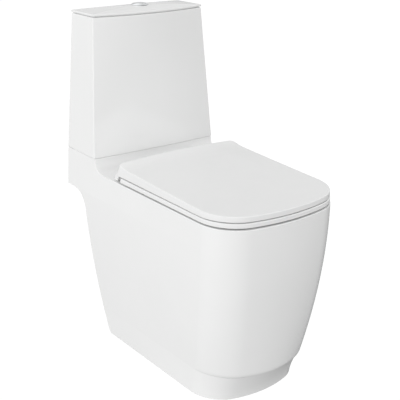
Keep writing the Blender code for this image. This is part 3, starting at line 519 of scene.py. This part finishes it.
def pan_skin():
    """The pan's closed outer form: two walls, rounded edges, and the faces that cross between them."""
    columns, boundary = pan_half()
    mesh_data = bmesh.new()
    edge_rows = []
    for point, normal, miter in boundary:
        up = Vector((0.0, -miter.x, miter.y))
        flat = (normal - up.normalized() * normal.dot(up.normalized())).normalized()
        radius = edge_radius(WALL_Y - point.y, False)
        edge_rows.append([point + up * math.sin(a) - flat * radius * (1.0 - math.cos(a))
                          for a in steps(0.0, math.pi / 2, 5)])
    edge_rows[-1] = [Vector((0.0, p.y, p.z)) for p in edge_rows[-1]]
    for side in (1, -1):
        def turn(rows):
            """The rows on this side of the toilet."""
            return [[Vector((side * p.x, p.y, p.z)) for p in row] for row in rows]
        add_grid(mesh_data, turn(columns))
        add_grid(mesh_data, turn(edge_rows))
    across = [[Vector((mix(-1.0, 1.0, i / 8) * row[-1].x, row[-1].y, row[-1].z)) for i in range(9)]
              for row in edge_rows]
    add_grid(mesh_data, across)
    bmesh.ops.remove_doubles(mesh_data, verts=mesh_data.verts, dist=2e-6)
    open_edges = [e for e in mesh_data.edges if e.is_boundary]
    bmesh.ops.holes_fill(mesh_data, edges=open_edges, sides=0)
    return mesh_data


def pan_cavity():
    """The hollow inside the skirt, open at the floor and at the back."""
    ceiling = RIM_Z - WALL
    ceiling_round = 0.012
    levels = [(z, WALL) for z in [-0.01, 0.002] + steps(0.03, ceiling - ceiling_round, 14)]
    for out, rise in arc((0.0, 0.0), ceiling_round, 0.0, 75.0, 4)[1:]:
        levels.append((ceiling - ceiling_round + rise, WALL + ceiling_round - out))
    return loft([outline(drawn_in(pan_shape(z), thick), BEHIND, z) for z, thick in levels])


# Height, half length, half width and depth of the centre, from the mouth down.
BOWL_LEVELS = ((0.464, 0.186, 0.128, 0.454), (0.430, 0.187, 0.130, 0.454), (0.380, 0.171, 0.119, 0.448),
               (0.320, 0.134, 0.097, 0.430), (0.262, 0.092, 0.070, 0.402), (0.218, 0.060, 0.050, 0.376),
               (0.198, 0.040, 0.034, 0.366))
# Centre lines as (depth, height), from the bowl to the outlet and from the cistern to the bowl's rear.
TRAP_PATH = ((0.376, 0.236), (0.345, 0.215), (0.305, 0.214), (0.266, 0.240), (0.232, 0.275), (0.196, 0.290),
             (0.163, 0.272), (0.140, 0.238), (0.115, 0.205), (0.085, 0.188), (0.050, 0.185), (0.012, 0.185))
DUCT_PATH = ((0.074, 0.480), (0.075, 0.452), (0.086, 0.430), (0.112, 0.420), (0.200, 0.420), (0.278, 0.420))


def oval(half_length, half_width, centre_depth, z, segments=96, power=2.35):
    """Points of an oval at a height; power 2 is an ellipse, and more makes its corners fuller."""
    points = []
    for i in range(segments):
        a = 2.0 * math.pi * i / segments
        c, s = math.cos(a), math.sin(a)
        x = math.copysign(abs(c) ** (2.0 / power), c) * half_width
        d = math.copysign(abs(s) ** (2.0 / power), s) * half_length
        points.append(at(x, centre_depth + d, z))
    return points


def bowl(thicker, flare):
    """The bowl's form, thicker all round by a distance; flare rounds its mouth out into the deck."""
    levels = smooth_path(BOWL_LEVELS, 6)

    def mouth(out, z):
        """A ring of the mouth, grown by a distance."""
        _, length, width, depth = BOWL_LEVELS[0]
        return oval(length + thicker + out, width + thicker + out, depth, z)

    if flare:
        rings = [mouth(flare * 1.02, RIM_Z + 0.002)]
        rings += [mouth(flare + out, RIM_Z - flare + z)
                  for out, z in reversed(arc((0.0, 0.0), flare, 180.0, 98.0, 8))]
        below = [level for level in levels if level[0] <= RIM_Z - flare]
    else:
        rings = [mouth(0.0, RIM_Z - 0.004)]
        below = levels[1:]
    rings += [oval(length + thicker, width + thicker, depth, z) for z, length, width, depth in below]
    z, length, width, depth = levels[-1]
    for share, drop in ((0.85, 0.0035), (0.6, 0.0060), (0.3, 0.0075)):
        rings.append(oval(length * share + thicker, width * share + thicker, depth, z - drop - thicker * 0.6))
    return loft(rings)


def sweep(path, radii, segments=36):
    """A round solid along a side-view path of (depth, z) points."""
    rings = []
    for i, (depth, z) in enumerate(path):
        before, after = path[max(i - 1, 0)], path[min(i + 1, len(path) - 1)]
        along = at(0.0, *after) - at(0.0, *before)
        side = Vector((1.0, 0.0, 0.0))
        up = along.normalized().cross(side)
        rings.append([at(0.0, depth, z) + radii[i] * (math.cos(a) * side + math.sin(a) * up)
                      for a in (2.0 * math.pi * k / segments for k in range(segments))])
    return loft(rings)


def tube(path, radius_start, radius_end, per_span=4):
    """A round solid along a smooth curve through a side-view path, its radius changing evenly."""
    fine = smooth_path(path, per_span)
    return sweep(fine, [mix(radius_start, radius_end, i / (len(fine) - 1)) for i in range(len(fine))])


def make_pan():
    """The pan: its skin, hollowed out, with bowl, trap, flush duct, valve seat and fixing holes."""
    valve = at(0.0, VALVE_DEPTH, 0.0)
    inner_shelf = box(-SHELF_HALF + WALL, SHELF_HALF - WALL, BEHIND, SHELF_FRONT - WALL,
                      0.440, SHELF_Z - 0.015)
    trap_open = ((0.392, 0.246),) + TRAP_PATH[1:-1] + ((-0.01, 0.185),)
    duct_open = ((0.074, 0.505),) + DUCT_PATH[1:-1] + ((0.300, 0.420),)
    trap_outer, trap_bore = (0.044, 0.051), (0.034, 0.041)
    duct_outer, duct_bore = (0.034, 0.034), (0.025, 0.025)
    boss_radius, valve_bore = 0.052, 0.043
    hinge_hole, bolt_hole, fill_hole = 0.0075, 0.0060, 0.0215
    work = [(CUT, pan_cavity()), (CUT, inner_shelf), (JOIN, bowl(0.010, 0.0)),
            (JOIN, tube(TRAP_PATH, *trap_outer)), (JOIN, tube(DUCT_PATH, *duct_outer)),
            (JOIN, rod(valve, boss_radius, 0.460, SHELF_Z - 0.010)), (CUT, bowl(0.0, 0.006)),
            (CUT, tube(trap_open, *trap_bore)), (CUT, tube(duct_open, *duct_bore)),
            (CUT, rod(valve, valve_bore, 0.4700, SHELF_Z + 0.01))]
    for side in (-1, 1):
        work.append((CUT, drill(side * HINGE_X, HINGE_DEPTH, hinge_hole, RIM_Z)))
        work.append((CUT, drill(side * BOLT_X, VALVE_DEPTH, bolt_hole, SHELF_Z)))
    work.append((CUT, drill(FILL_X, FILL_DEPTH, fill_hole, SHELF_Z, 40)))
    return make_piece("pan_glazed", pan_skin(), work)


# ---- cistern and lid
def cistern_outline(z, inset=0.0, plan_z=None):
    """The cistern's outline at a height, with the plan it has there or at plan_z: bulging more higher up."""
    tightest, rear_corner, rear_tightest = 0.0025, 0.0022, 0.0012
    rise = ((z if plan_z is None else plan_z) - CISTERN_Z0) / (CISTERN_Z1 - CISTERN_Z0)
    low, high = CISTERN_LOW, CISTERN_HIGH
    half = mix(low["half"], high["half"], rise)
    bulge = mix(low["bulge"], high["bulge"], rise)
    front = mix(low["front"], high["front"], rise) + bulge
    inward = max(inset, 0.0)
    corner = max(CISTERN_CORNER - 0.5 * inward, tightest)
    shape = {"wall_half": half, "front_half": half, "front": front, "bow": bulge, "corner": corner}
    back = mix(low["back"], high["back"], rise) + inset
    return outline(drawn_in(shape, inset), back, z, rear_round=max(rear_corner - 0.2 * inward, rear_tightest))


def rounded_edge(radius, count=4):
    """(inset, drop) pairs round a quarter turn, from the top face out to the side face."""
    return [(radius * (1.0 - math.sin(a)), radius * (1.0 - math.cos(a)))
            for a in steps(0.0, math.pi / 2, count)]


def make_cistern():
    """The cistern: a foot on the shelf, walls, an open top, and the holes of the two valves."""
    inside = CISTERN_Z0 + FOOT_RECESS + CISTERN_FLOOR
    foot_edge, top_edge, inner_round = 0.0022, 0.0025, 0.014
    foot = ((FOOT_RECESS, 0.0140), (0.004, 0.0120), (0.0, 0.0100))
    rings = [cistern_outline(CISTERN_Z0 + rise, inset) for rise, inset in foot]
    rings += [cistern_outline(CISTERN_Z0 + drop, inset) for inset, drop in rounded_edge(foot_edge)]
    rings += [cistern_outline(z) for z in steps(CISTERN_Z0 + 0.010, CISTERN_Z1 - 0.010, 16)]
    rings += [cistern_outline(CISTERN_Z1 - drop, inset) for inset, drop in reversed(rounded_edge(top_edge))]
    rings += [cistern_outline(CISTERN_Z1 - drop, CISTERN_WALL - inset)
              for inset, drop in rounded_edge(top_edge)]
    rings += [cistern_outline(z, CISTERN_WALL)
              for z in steps(CISTERN_Z1 - 0.012, inside + inner_round + 0.01, 12)]
    rings += [cistern_outline(inside + drop, CISTERN_WALL + inset)
              for inset, drop in reversed(rounded_edge(inner_round, 6))]
    valves = ((0.0, VALVE_DEPTH, 0.0305, 48), (FILL_X, FILL_DEPTH, 0.0112, 32))
    work = [(CUT, rod(at(x, depth, 0.0), radius, CISTERN_Z0 - 0.01, inside + 0.01, segments))
            for x, depth, radius, segments in valves]
    return make_piece("cistern_glazed", loft(rings), work)


def lid_outline(z, inset, share=0.0):
    """The lid's outline, drawn in by a distance or, over the crown, by a share of its size."""
    middle = at(0.0, BUTTON_DEPTH, z)
    return [Vector((mix(p.x, middle.x, share), mix(p.y, middle.y, share), z))
            for p in cistern_outline(z, inset, plan_z=CISTERN_Z1)]


def make_lid():
    """The lid: a skirt inside the cistern, a seat on its walls, rounded edges and a crowned top."""
    overhang = -0.0010
    low_edge, top_edge = 0.0008, 0.0016
    top = LID_Z0 + LID_EDGE
    under = CISTERN_Z1 + GAP
    skirt = LID_BOX[0].z
    underside = ((top - 0.0035, 0.0220), (skirt, 0.0210), (skirt, 0.0130), (skirt + 0.0015, 0.0115),
                 (under, 0.0115), (under, 0.0035), (LID_Z0, 0.0030))
    rings = [lid_outline(z, inset) for z, inset in underside]
    rings += [lid_outline(LID_Z0 + drop, overhang + inset) for inset, drop in rounded_edge(low_edge, 3)]
    rings += [lid_outline(top - drop, overhang + inset)
              for inset, drop in reversed(rounded_edge(top_edge, 5))]
    for share in [0.02, 0.05, 0.10] + steps(0.18, 0.98, 12):
        height = top + LID_CROWN * (1.0 - (1.0 - share) ** 2)
        rings.append(lid_outline(height, overhang + top_edge, share))
    button_hole = rod(at(0.0, BUTTON_DEPTH, 0.0), 0.0172, 0.82, 0.88, 64)
    return make_piece("cistern_lid_glazed", loft(rings), [(CUT, button_hole)])


# ---- push button
def make_button_housing():
    """The bezel and its sleeve: a rounded collar on the lid, open above for the two caps."""
    low, high = BEZEL_BOX[0].z, BEZEL_BOX[1].z
    seat = LID_Z0 + LID_EDGE + LID_CROWN
    outer, sleeve, bore, middle = 0.0206, 0.0164, 0.0152, 0.0010
    edge = 0.0020
    floor_top = low + 0.0020
    profile = [(middle, low), (sleeve - 0.0006, low), (sleeve, low + 0.0006), (sleeve, seat)]
    profile += [(outer - 0.0004, seat), (outer, seat + 0.0004), (outer, high - edge)]
    profile += [(outer - inset, high - drop) for inset, drop in reversed(rounded_edge(edge, 6))]
    profile += [(bore + 0.0010, high), (bore + 0.0003, high - 0.0003), (bore, high - 0.0010)]
    profile += [(bore, floor_top), (middle, floor_top)]
    collar = turned(at(0.0, BUTTON_DEPTH, 0.0), profile, 96, closed=True)
    return make_piece("button_bezel", collar, sharp=40.0)


def make_button(name, side):
    """One D-shaped half of the push button, with a rolled edge and a slightly dished top."""
    low, high = BUTTON_BOX[0].z, BUTTON_BOX[1].z
    radius, edge, slot = 0.0148, 0.0010, 0.0004

    def d_shape(shrink, z):
        """The half's outline at a height, drawn in by a distance."""
        inner = radius - shrink
        flat = slot + shrink
        first = math.acos(flat / inner)
        points = [(inner * math.cos(a), inner * math.sin(a)) for a in steps(-first, first, 40)]
        points += [(flat, y) for y in steps(points[-1][1], points[0][1], 12)[1:-1]]
        return [Vector((side * x, y, z)) + at(0.0, BUTTON_DEPTH, 0.0) for x, y in points]

    rings = [d_shape(0.0, low)]
    rings += [d_shape(inset, high - drop) for inset, drop in reversed(rounded_edge(edge, 5))]
    dish = ((0.0022, 0.0001), (0.0038, 0.0003), (0.0056, 0.0005))
    rings += [d_shape(shrink, high - dip) for shrink, dip in dish]
    return make_piece(f"button_{name}_cap", loft(rings), sharp=40.0)


# ---- seat
def hole_point(p, half_width=0.106, half_length=0.158, centre_depth=0.447, power=2.5):
    """The point of the ring's inner edge that lies towards an outer point."""
    x, d = p.x, WALL_Y - p.y - centre_depth
    reach = (abs(x / half_width) ** power + abs(d / half_length) ** power) ** (-1.0 / power)
    return at(x * reach, centre_depth + d * reach, 0.0)


def make_seat_ring():
    """The seat ring: rounded edges outside and in, and a lug on each side for the hinge pins."""
    low, high = RING_Z0, RING_Z1
    low_edge, high_edge = 0.0014, 0.0026
    inner_low_edge, inner_high_edge = 0.0020, 0.0046
    hollow, fall = 0.0006, 0.0008

    def level(inset, z):
        """The ring's outer edge at a height, drawn in by a distance."""
        return outline(drawn_in(RING_PLAN, inset), SEAT_BACK + inset, z, rear_round=0.0045)

    outer = level(0.0, 0.0)
    inner = [hole_point(p) for p in outer]

    def between(share, out, z):
        """A loop at a share of the way from the outer to the inner edge, moved outward by a distance."""
        points = []
        for a, b in zip(outer, inner):
            towards = (a - b).normalized() * out
            points.append(Vector((mix(a.x, b.x, share) + towards.x, mix(a.y, b.y, share) + towards.y, z)))
        return points

    rings = [between(share, 0.0, low + hollow) for share in (0.90, 0.12)]
    rings += [level(inset, low + drop) for inset, drop in rounded_edge(low_edge, 4)]
    rings += [level(inset, high - drop) for inset, drop in reversed(rounded_edge(high_edge, 6))]
    rings += [between(share, 0.0, high - fall * share**2) for share in (0.12, 0.3, 0.5, 0.7, 0.85)]
    rings += [between(1.0, inset, high - fall - drop) for inset, drop in rounded_edge(inner_high_edge, 6)]
    rings += [between(1.0, inset, low + drop) for inset, drop in reversed(rounded_edge(inner_low_edge, 4))]
    lug_front, lug_top = SEAT_BACK + 0.012, HINGE_Z - 0.0010
    lug = [(lug_front, HINGE_Z - 0.0078), (lug_front, lug_top), (HINGE_DEPTH + 0.0080, lug_top)]
    lug += arc((HINGE_DEPTH, HINGE_Z), LUG_R, 20.0, 270.0, 20)
    work = []
    for side in (-1, 1):
        x0, x1 = sorted((side * 0.0545, side * 0.0665))
        work.append((JOIN, prism(lug, x0, x1)))
        work.append((CUT, pin_bore(x0 - 0.002, x1 + 0.002)))
    return make_piece("seat_ring_gloss", loft(rings, join_ends=True), work)


def cover_top(depth):
    """Height of the cover's upper surface: it falls from the back to a thin front edge."""
    back, front = 0.2369, COVER_PLAN["front"]
    front_z, rise = 0.4935, 0.0125
    lift_start, lift_run, lift = 0.285, 0.043, 0.0075
    t = clamp((depth - back) / (front - back))
    towards_rear = max(0.0, (lift_start - depth) / lift_run)
    return front_z + rise * (1.0 - t) ** 1.35 + lift * towards_rear**2


def cover_rear(z):
    """Depth of the cover's rear face at a height."""
    return FOOT_DEPTH + (z - FOOT_Z) * REAR_SLOPE


def cover_shell():
    """The cover's solid form, from its lower edge over the rolled upper edge to the middle of its top."""
    low = COVER_Z0
    under_inset, low_edge, edge, roll, bulge = 0.0070, 0.0012, 0.0024, 0.0046, 0.0008
    shoulder = cover_top(0.2420)

    def level(inset, z, back):
        """The cover's outline, drawn in by a distance, from a given depth forward."""
        return outline(drawn_in(COVER_PLAN, inset), back, z, rear_round=0.0130)

    rings = [level(under_inset, low, cover_rear(low) + under_inset)]
    rings += [level(inset, low + drop, cover_rear(low + drop) + inset)
              for inset, drop in rounded_edge(low_edge, 4)]
    for t in (0.25, 0.5, 0.75):
        rings.append(level(0.0, lambda d, t=t: mix(low + low_edge, cover_top(d) - roll, t),
                           cover_rear(mix(low, shoulder - roll, t))))
    for inset, drop in reversed(rounded_edge(1.0, 6)):
        def rolled(d, drop=drop):
            """Height on the rolled edge, which is fuller along the rear."""
            return cover_top(d) - mix(edge, roll, rear_share(d)) * drop

        rings.append(level(edge * inset, rolled, cover_rear(shoulder - roll) + roll * inset))
    flat = rings[-1]
    middle = at(0.0, 0.455, 0.0)
    for share in (0.02, 0.06, 0.12, 0.2, 0.32, 0.46, 0.62, 0.8, 0.96):
        ring = []
        for p in flat:
            x, y = mix(p.x, middle.x, share), mix(p.y, middle.y, share)
            ring.append(Vector((x, y, cover_top(WALL_Y - y) + bulge * (1.0 - (1.0 - share) ** 2))))
        rings.append(ring)
    return loft(crowned(rings, low))


def cover_hollow():
    """The hollow on the cover's underside, with a rounded ceiling."""
    low = COVER_Z0
    inset_all, back, ceiling_round, rear_corner, thickness = 0.018, 0.267, 0.006, 0.008, 0.0042
    edge = drawn_in(COVER_PLAN, inset_all)
    rings = [outline(edge, back, z, rear_corner) for z in (low - 0.01, low + 0.004)]
    for inset, drop in reversed(rounded_edge(ceiling_round, 4)):
        def ceiling(d, drop=drop):
            """Height of the hollow's ceiling at a depth."""
            return max(cover_top(d) - thickness - drop, low + thickness)

        rings.append(outline(drawn_in(COVER_PLAN, inset_all + inset), back + inset, ceiling, rear_corner))
    return loft(crowned(rings, low))


def cover_foot():
    """Side view of the bar along the cover's rear edge, as (depth, z) points."""
    low = COVER_Z0
    front, rear_round, front_round = 0.2460, 0.0035, 0.0025
    round_z = FOOT_Z + 0.005
    foot = [(front, low + 0.004), (0.2315, low + 0.004)]
    foot += [(cover_rear(z), z) for z in steps(low, round_z, 3)]
    foot += arc((cover_rear(round_z) + rear_round, FOOT_Z + rear_round), rear_round, 170.0, 270.0, 8)
    foot += arc((0.2342, FOOT_Z + front_round), front_round, 270.0, 350.0, 6)
    return foot + [(0.2420, low - 0.0008), (front, low)]


def make_seat_cover():
    """The cover: its hollowed form, the foot along its rear edge, and a lug and a notch on each side."""
    work = [(CUT, cover_hollow()), (JOIN, foot_bar(cover_foot()))]
    lug = arc((HINGE_DEPTH, HINGE_Z), LUG_R, -60.0, 260.0, 28)
    for side in (-1, 1):
        x0, x1 = sorted((side * 0.0895, side * 0.1035))
        notch0, notch1 = sorted((side * 0.0540, side * 0.0892))
        work.append((JOIN, prism(lug, x0, x1)))
        work.append((CUT, pin_bore(x0 - 0.002, x1 + GAP)))
        work.append((CUT, box(notch0, notch1, 0.205, 0.2425, 0.460, HINGE_Z + 0.0113)))
    return make_piece("seat_cover_gloss", cover_shell(), work)


def rear_share(depth):
    """1 along the cover's rear edge, where its top is rolled over, falling to 0 a little further forward."""
    roll_end, roll_run = 0.267, 0.022
    return clamp((roll_end - depth) / roll_run)


def cover_crown(p):
    """Rise of the cover's top towards the centre line, most at the rear edge."""
    crown, crown_back, crown_half = 0.0045, 0.2470, 0.1740
    forward = (COVER_PLAN["front"] - WALL_Y + p.y) / (COVER_PLAN["front"] - crown_back)
    across = max(1.0 - (p.x / crown_half) ** 2, 0.0)
    return crown * across * clamp(forward) ** 2


def crowned(rings, low):
    """The rings of the cover with its top's crown added, none at the lower edge."""
    for p in (p for ring in rings for p in ring):
        raised = clamp((p.z - low) / (cover_top(WALL_Y - p.y) - low))
        p.z += raised * cover_crown(p)
    return rings


def foot_bar(profile, half=0.1740, edge=0.0022):
    """The bar along the cover's rear edge that stands on the deck, with rounded ends."""
    middle = Vector((sum(d for d, z in profile) / len(profile), sum(z for d, z in profile) / len(profile)))
    right = [(half - out, inset) for inset, out in rounded_edge(edge, 4)]
    rings = []
    for x, inset in [(-x, inset) for x, inset in right] + right[::-1]:
        points = []
        for d, z in profile:
            away = Vector((d, z)) - middle
            p = Vector((d, z)) - away.normalized() * inset
            points.append(at(x, p.x, p.y))
        rings.append(points)
    return loft(rings)


# ---- materials
def put(node, values):
    """Set inputs of a node by their names."""
    for name, value in values.items():
        node.inputs[name].default_value = value


def map_range(nodes, links, value, source, target, smooth=False):
    """A value carried from the source range to the target range."""
    convert = nodes.new("ShaderNodeMapRange")
    convert.interpolation_type = "SMOOTHSTEP" if smooth else "LINEAR"
    put(convert, {"From Min": source[0], "From Max": source[1], "To Min": target[0], "To Max": target[1]})
    links.new(value, convert.inputs["Value"])
    return convert.outputs["Result"]


def noise(nodes, links, coordinates, scale, detail=3.0, stretch=None):
    """A smooth random value over the surface; stretch scales the pattern along each axis."""
    texture = nodes.new("ShaderNodeTexNoise")
    put(texture, {"Scale": scale, "Detail": detail})
    if stretch:
        mapping = nodes.new("ShaderNodeMapping")
        put(mapping, {"Scale": stretch})
        links.new(coordinates, mapping.inputs["Vector"])
        coordinates = mapping.outputs["Vector"]
    links.new(coordinates, texture.inputs["Vector"])
    return texture.outputs["Fac"]


def spread(nodes, links, value, low, high):
    """A noise value carried to the range low to high."""
    return map_range(nodes, links, value, (0.3, 0.7), (low, high))


def finish_material(name, colour, shade, roughness, tint_scale, bump_scale, bump_depth,
                    metallic=0.0, coat=0.0, stretch=None, specular=0.5):
    """A procedural finish: colour drifts to shade, roughness drifts over its range, and a fine bump."""
    material = bpy.data.materials.new(name)
    material.use_nodes = True
    nodes, links = material.node_tree.nodes, material.node_tree.links
    shader = nodes["Principled BSDF"]
    put(shader, {"Metallic": metallic, "Specular IOR Level": specular, "Coat Weight": coat,
                 "Coat Roughness": 0.03})
    place = nodes.new("ShaderNodeTexCoord").outputs["Object"]
    blend = nodes.new("ShaderNodeMix")
    blend.data_type = "RGBA"
    put(blend, {"A": (*colour, 1.0), "B": (*shade, 1.0)})
    links.new(spread(nodes, links, noise(nodes, links, place, tint_scale), 0.0, 1.0), blend.inputs["Factor"])
    links.new(blend.outputs["Result"], shader.inputs["Base Color"])
    grain = noise(nodes, links, place, bump_scale, 4.0, stretch)
    links.new(spread(nodes, links, grain, *roughness), shader.inputs["Roughness"])
    bump = nodes.new("ShaderNodeBump")
    put(bump, {"Strength": 0.35, "Distance": bump_depth})
    links.new(grain, bump.inputs["Height"])
    links.new(bump.outputs["Normal"], shader.inputs["Normal"])
    return material


PLASTIC = dict(roughness=(0.34, 0.50), tint_scale=30.0, bump_scale=900.0, bump_depth=0.00006)
FINISHES = {
    "glazed_ceramic": dict(colour=(0.850, 0.852, 0.850), shade=(0.835, 0.838, 0.835), roughness=(0.10, 0.16),
                           tint_scale=6.0, bump_scale=30.0, bump_depth=0.00002, coat=0.35),
    "seat_plastic": dict(colour=(0.820, 0.822, 0.820), shade=(0.806, 0.809, 0.807), roughness=(0.18, 0.25),
                         tint_scale=9.0, bump_scale=60.0, bump_depth=0.00001, specular=0.4),
    "white_plastic": dict(PLASTIC, colour=(0.72, 0.73, 0.73), shade=(0.66, 0.67, 0.66)),
    "blue_plastic": dict(PLASTIC, colour=(0.055, 0.17, 0.43), shade=(0.04, 0.13, 0.36)),
    "black_rubber": dict(colour=(0.022, 0.022, 0.023), shade=(0.04, 0.04, 0.04), roughness=(0.60, 0.80),
                         tint_scale=60.0, bump_scale=1500.0, bump_depth=0.00010),
    "grey_silicone": dict(colour=(0.42, 0.43, 0.42), shade=(0.36, 0.37, 0.36), roughness=(0.45, 0.62),
                          tint_scale=60.0, bump_scale=1200.0, bump_depth=0.00008),
    "chrome": dict(colour=(0.78, 0.79, 0.80), shade=(0.72, 0.73, 0.74), roughness=(0.05, 0.14),
                   tint_scale=50.0, bump_scale=700.0, bump_depth=0.00001, metallic=1.0),
    "steel": dict(colour=(0.56, 0.56, 0.54), shade=(0.45, 0.45, 0.43), roughness=(0.30, 0.44),
                  tint_scale=50.0, bump_scale=500.0, bump_depth=0.00003, metallic=1.0,
                  stretch=(1.0, 1.0, 0.06)),
}


def make_materials():
    """Every material slot's finish, by the slot's name."""
    return {name: finish_material(name, **looks) for name, looks in FINISHES.items()}


# ---- assembly
def dress(piece, material):
    """Give a piece one material in place of those it has."""
    piece.data.materials.clear()
    piece.data.materials.append(material)


def stand_in(piece, node, body, slot, materials):
    """Ride a new piece on its body, in place of one CAD node, with the finish of the given slot."""
    dress(piece, materials[slot])
    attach(piece, body)
    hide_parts(node)


def soften(node):
    """Weld and round the edges of a carried-over CAD node, and shade its curved faces smoothly."""
    mesh = node.data
    if "custom_normal" in mesh.attributes:
        mesh.attributes.remove(mesh.attributes["custom_normal"])
    mesh.shade_smooth()
    weld = node.modifiers.new("weld", "WELD")
    weld.merge_threshold = 0.00001
    bevel = node.modifiers.new("soft_edge", "BEVEL")
    bevel.width = 0.00035
    bevel.segments = 2
    bevel.limit_method = "ANGLE"
    bevel.angle_limit = math.radians(40.0)
    bevel.use_clamp_overlap = True
    bevel.harden_normals = True


def dress_frame(materials, replaced):
    """Give every CAD node that stays in view its procedural finish."""
    slots = {row["node"]: row["material_slot"] for row in frame["record"]["subparts"]}
    for name, node in frame["nodes"].items():
        if name in replaced:
            continue
        dress(node, materials[slots[name]])
        soften(node)


def make_floor():
    """A plain white floor that shows to the camera alone, so the toilet stands in even studio light."""
    mesh_data = bmesh.new()
    bmesh.ops.create_grid(mesh_data, x_segments=8, y_segments=8, size=FLOOR_HALF)
    floor = add_object("floor", mesh_data)
    material = bpy.data.materials.new("floor_white")
    material.use_nodes = True
    shader = material.node_tree.nodes["Principled BSDF"]
    put(shader, {"Base Color": (FLOOR_BASE, FLOOR_BASE, FLOOR_BASE, 1.0), "Roughness": 0.9,
                 "Specular IOR Level": 0.0, "Emission Strength": 1.0,
                 "Emission Color": (FLOOR_GLOW, FLOOR_GLOW, FLOOR_GLOW, 1.0)})
    floor.data.materials.append(material)
    floor.visible_diffuse = False
    floor.visible_glossy = False


def combine(nodes, links, operation, first, second):
    """One arithmetic step on a value and a second one, which may be a plain number."""
    step = nodes.new("ShaderNodeMath")
    step.operation = operation
    links.new(first, step.inputs[0])
    if isinstance(second, float):
        step.inputs[1].default_value = second
    else:
        links.new(second, step.inputs[1])
    return step.outputs["Value"]


def make_light():
    """A soft studio dome, brightest just above the horizon and to the left, dimmer towards the wall."""
    world = bpy.data.worlds.new("studio")
    bpy.context.scene.world = world
    world.use_nodes = True
    nodes, links = world.node_tree.nodes, world.node_tree.links
    direction = nodes.new("ShaderNodeSeparateXYZ")
    links.new(nodes.new("ShaderNodeTexCoord").outputs["Generated"], direction.inputs["Vector"])
    height = direction.outputs["Z"]
    above = map_range(nodes, links, height, (-0.2, 0.2), (0.0, 1.0), smooth=True)
    dome = map_range(nodes, links, height, (0.0, 1.0), (DOME_HORIZON - DOME_FLOOR, DOME_TOP - DOME_FLOOR))
    left = map_range(nodes, links, direction.outputs["X"], (-1.0, 0.3), (DOME_LEFT, 0.0))
    rear = map_range(nodes, links, direction.outputs["Y"], (-0.2, 1.0), (1.0, DOME_REAR))
    lit = combine(nodes, links, "MULTIPLY", combine(nodes, links, "MULTIPLY", above, dome), rear)
    lit = combine(nodes, links, "ADD", lit, left)
    background = nodes["Background"]
    put(background, {"Color": (1.0, 1.0, 1.0, 1.0)})
    links.new(combine(nodes, links, "ADD", lit, DOME_FLOOR), background.inputs["Strength"])


def make_camera():
    """The camera, level across and looking down on the toilet from its front left."""
    data = bpy.data.cameras.new("camera")
    data.lens = CAMERA_LENS
    data.sensor_width = CAMERA_SENSOR
    data.clip_end = 100.0
    camera = bpy.data.objects.new("camera", data)
    camera.location = at(*CAMERA_PLACE)
    camera.rotation_euler = (math.radians(90.0 - CAMERA_DIP), 0.0, math.radians(CAMERA_TURN))
    bpy.context.scene.collection.objects.link(camera)
    bpy.context.scene.camera = camera
    bpy.context.scene.view_settings.view_transform = "Standard"


def main():
    """Build the visible pieces, dress everything, and add the floor, the light and the camera."""
    materials = make_materials()
    rebuilt = [
        (make_pan(), "pan", "root", "glazed_ceramic"),
        (make_cistern(), "cistern", "root", "glazed_ceramic"),
        (make_lid(), "cistern_lid", "cistern_lid", "glazed_ceramic"),
        (make_button_housing(), "button_housing", "cistern_lid", "chrome"),
        (make_button("full", 1), "button_full", "full_button", "chrome"),
        (make_button("half", -1), "button_half", "half_button", "chrome"),
        (make_seat_ring(), "seat_ring", "seat_ring", "seat_plastic"),
        (make_seat_cover(), "seat_cover", "seat_cover", "seat_plastic"),
    ]
    for piece, node, body, slot in rebuilt:
        stand_in(piece, node, body, slot, materials)
    dress_frame(materials, {node for _, node, _, _ in rebuilt})
    make_floor()
    make_light()
    make_camera()


main()
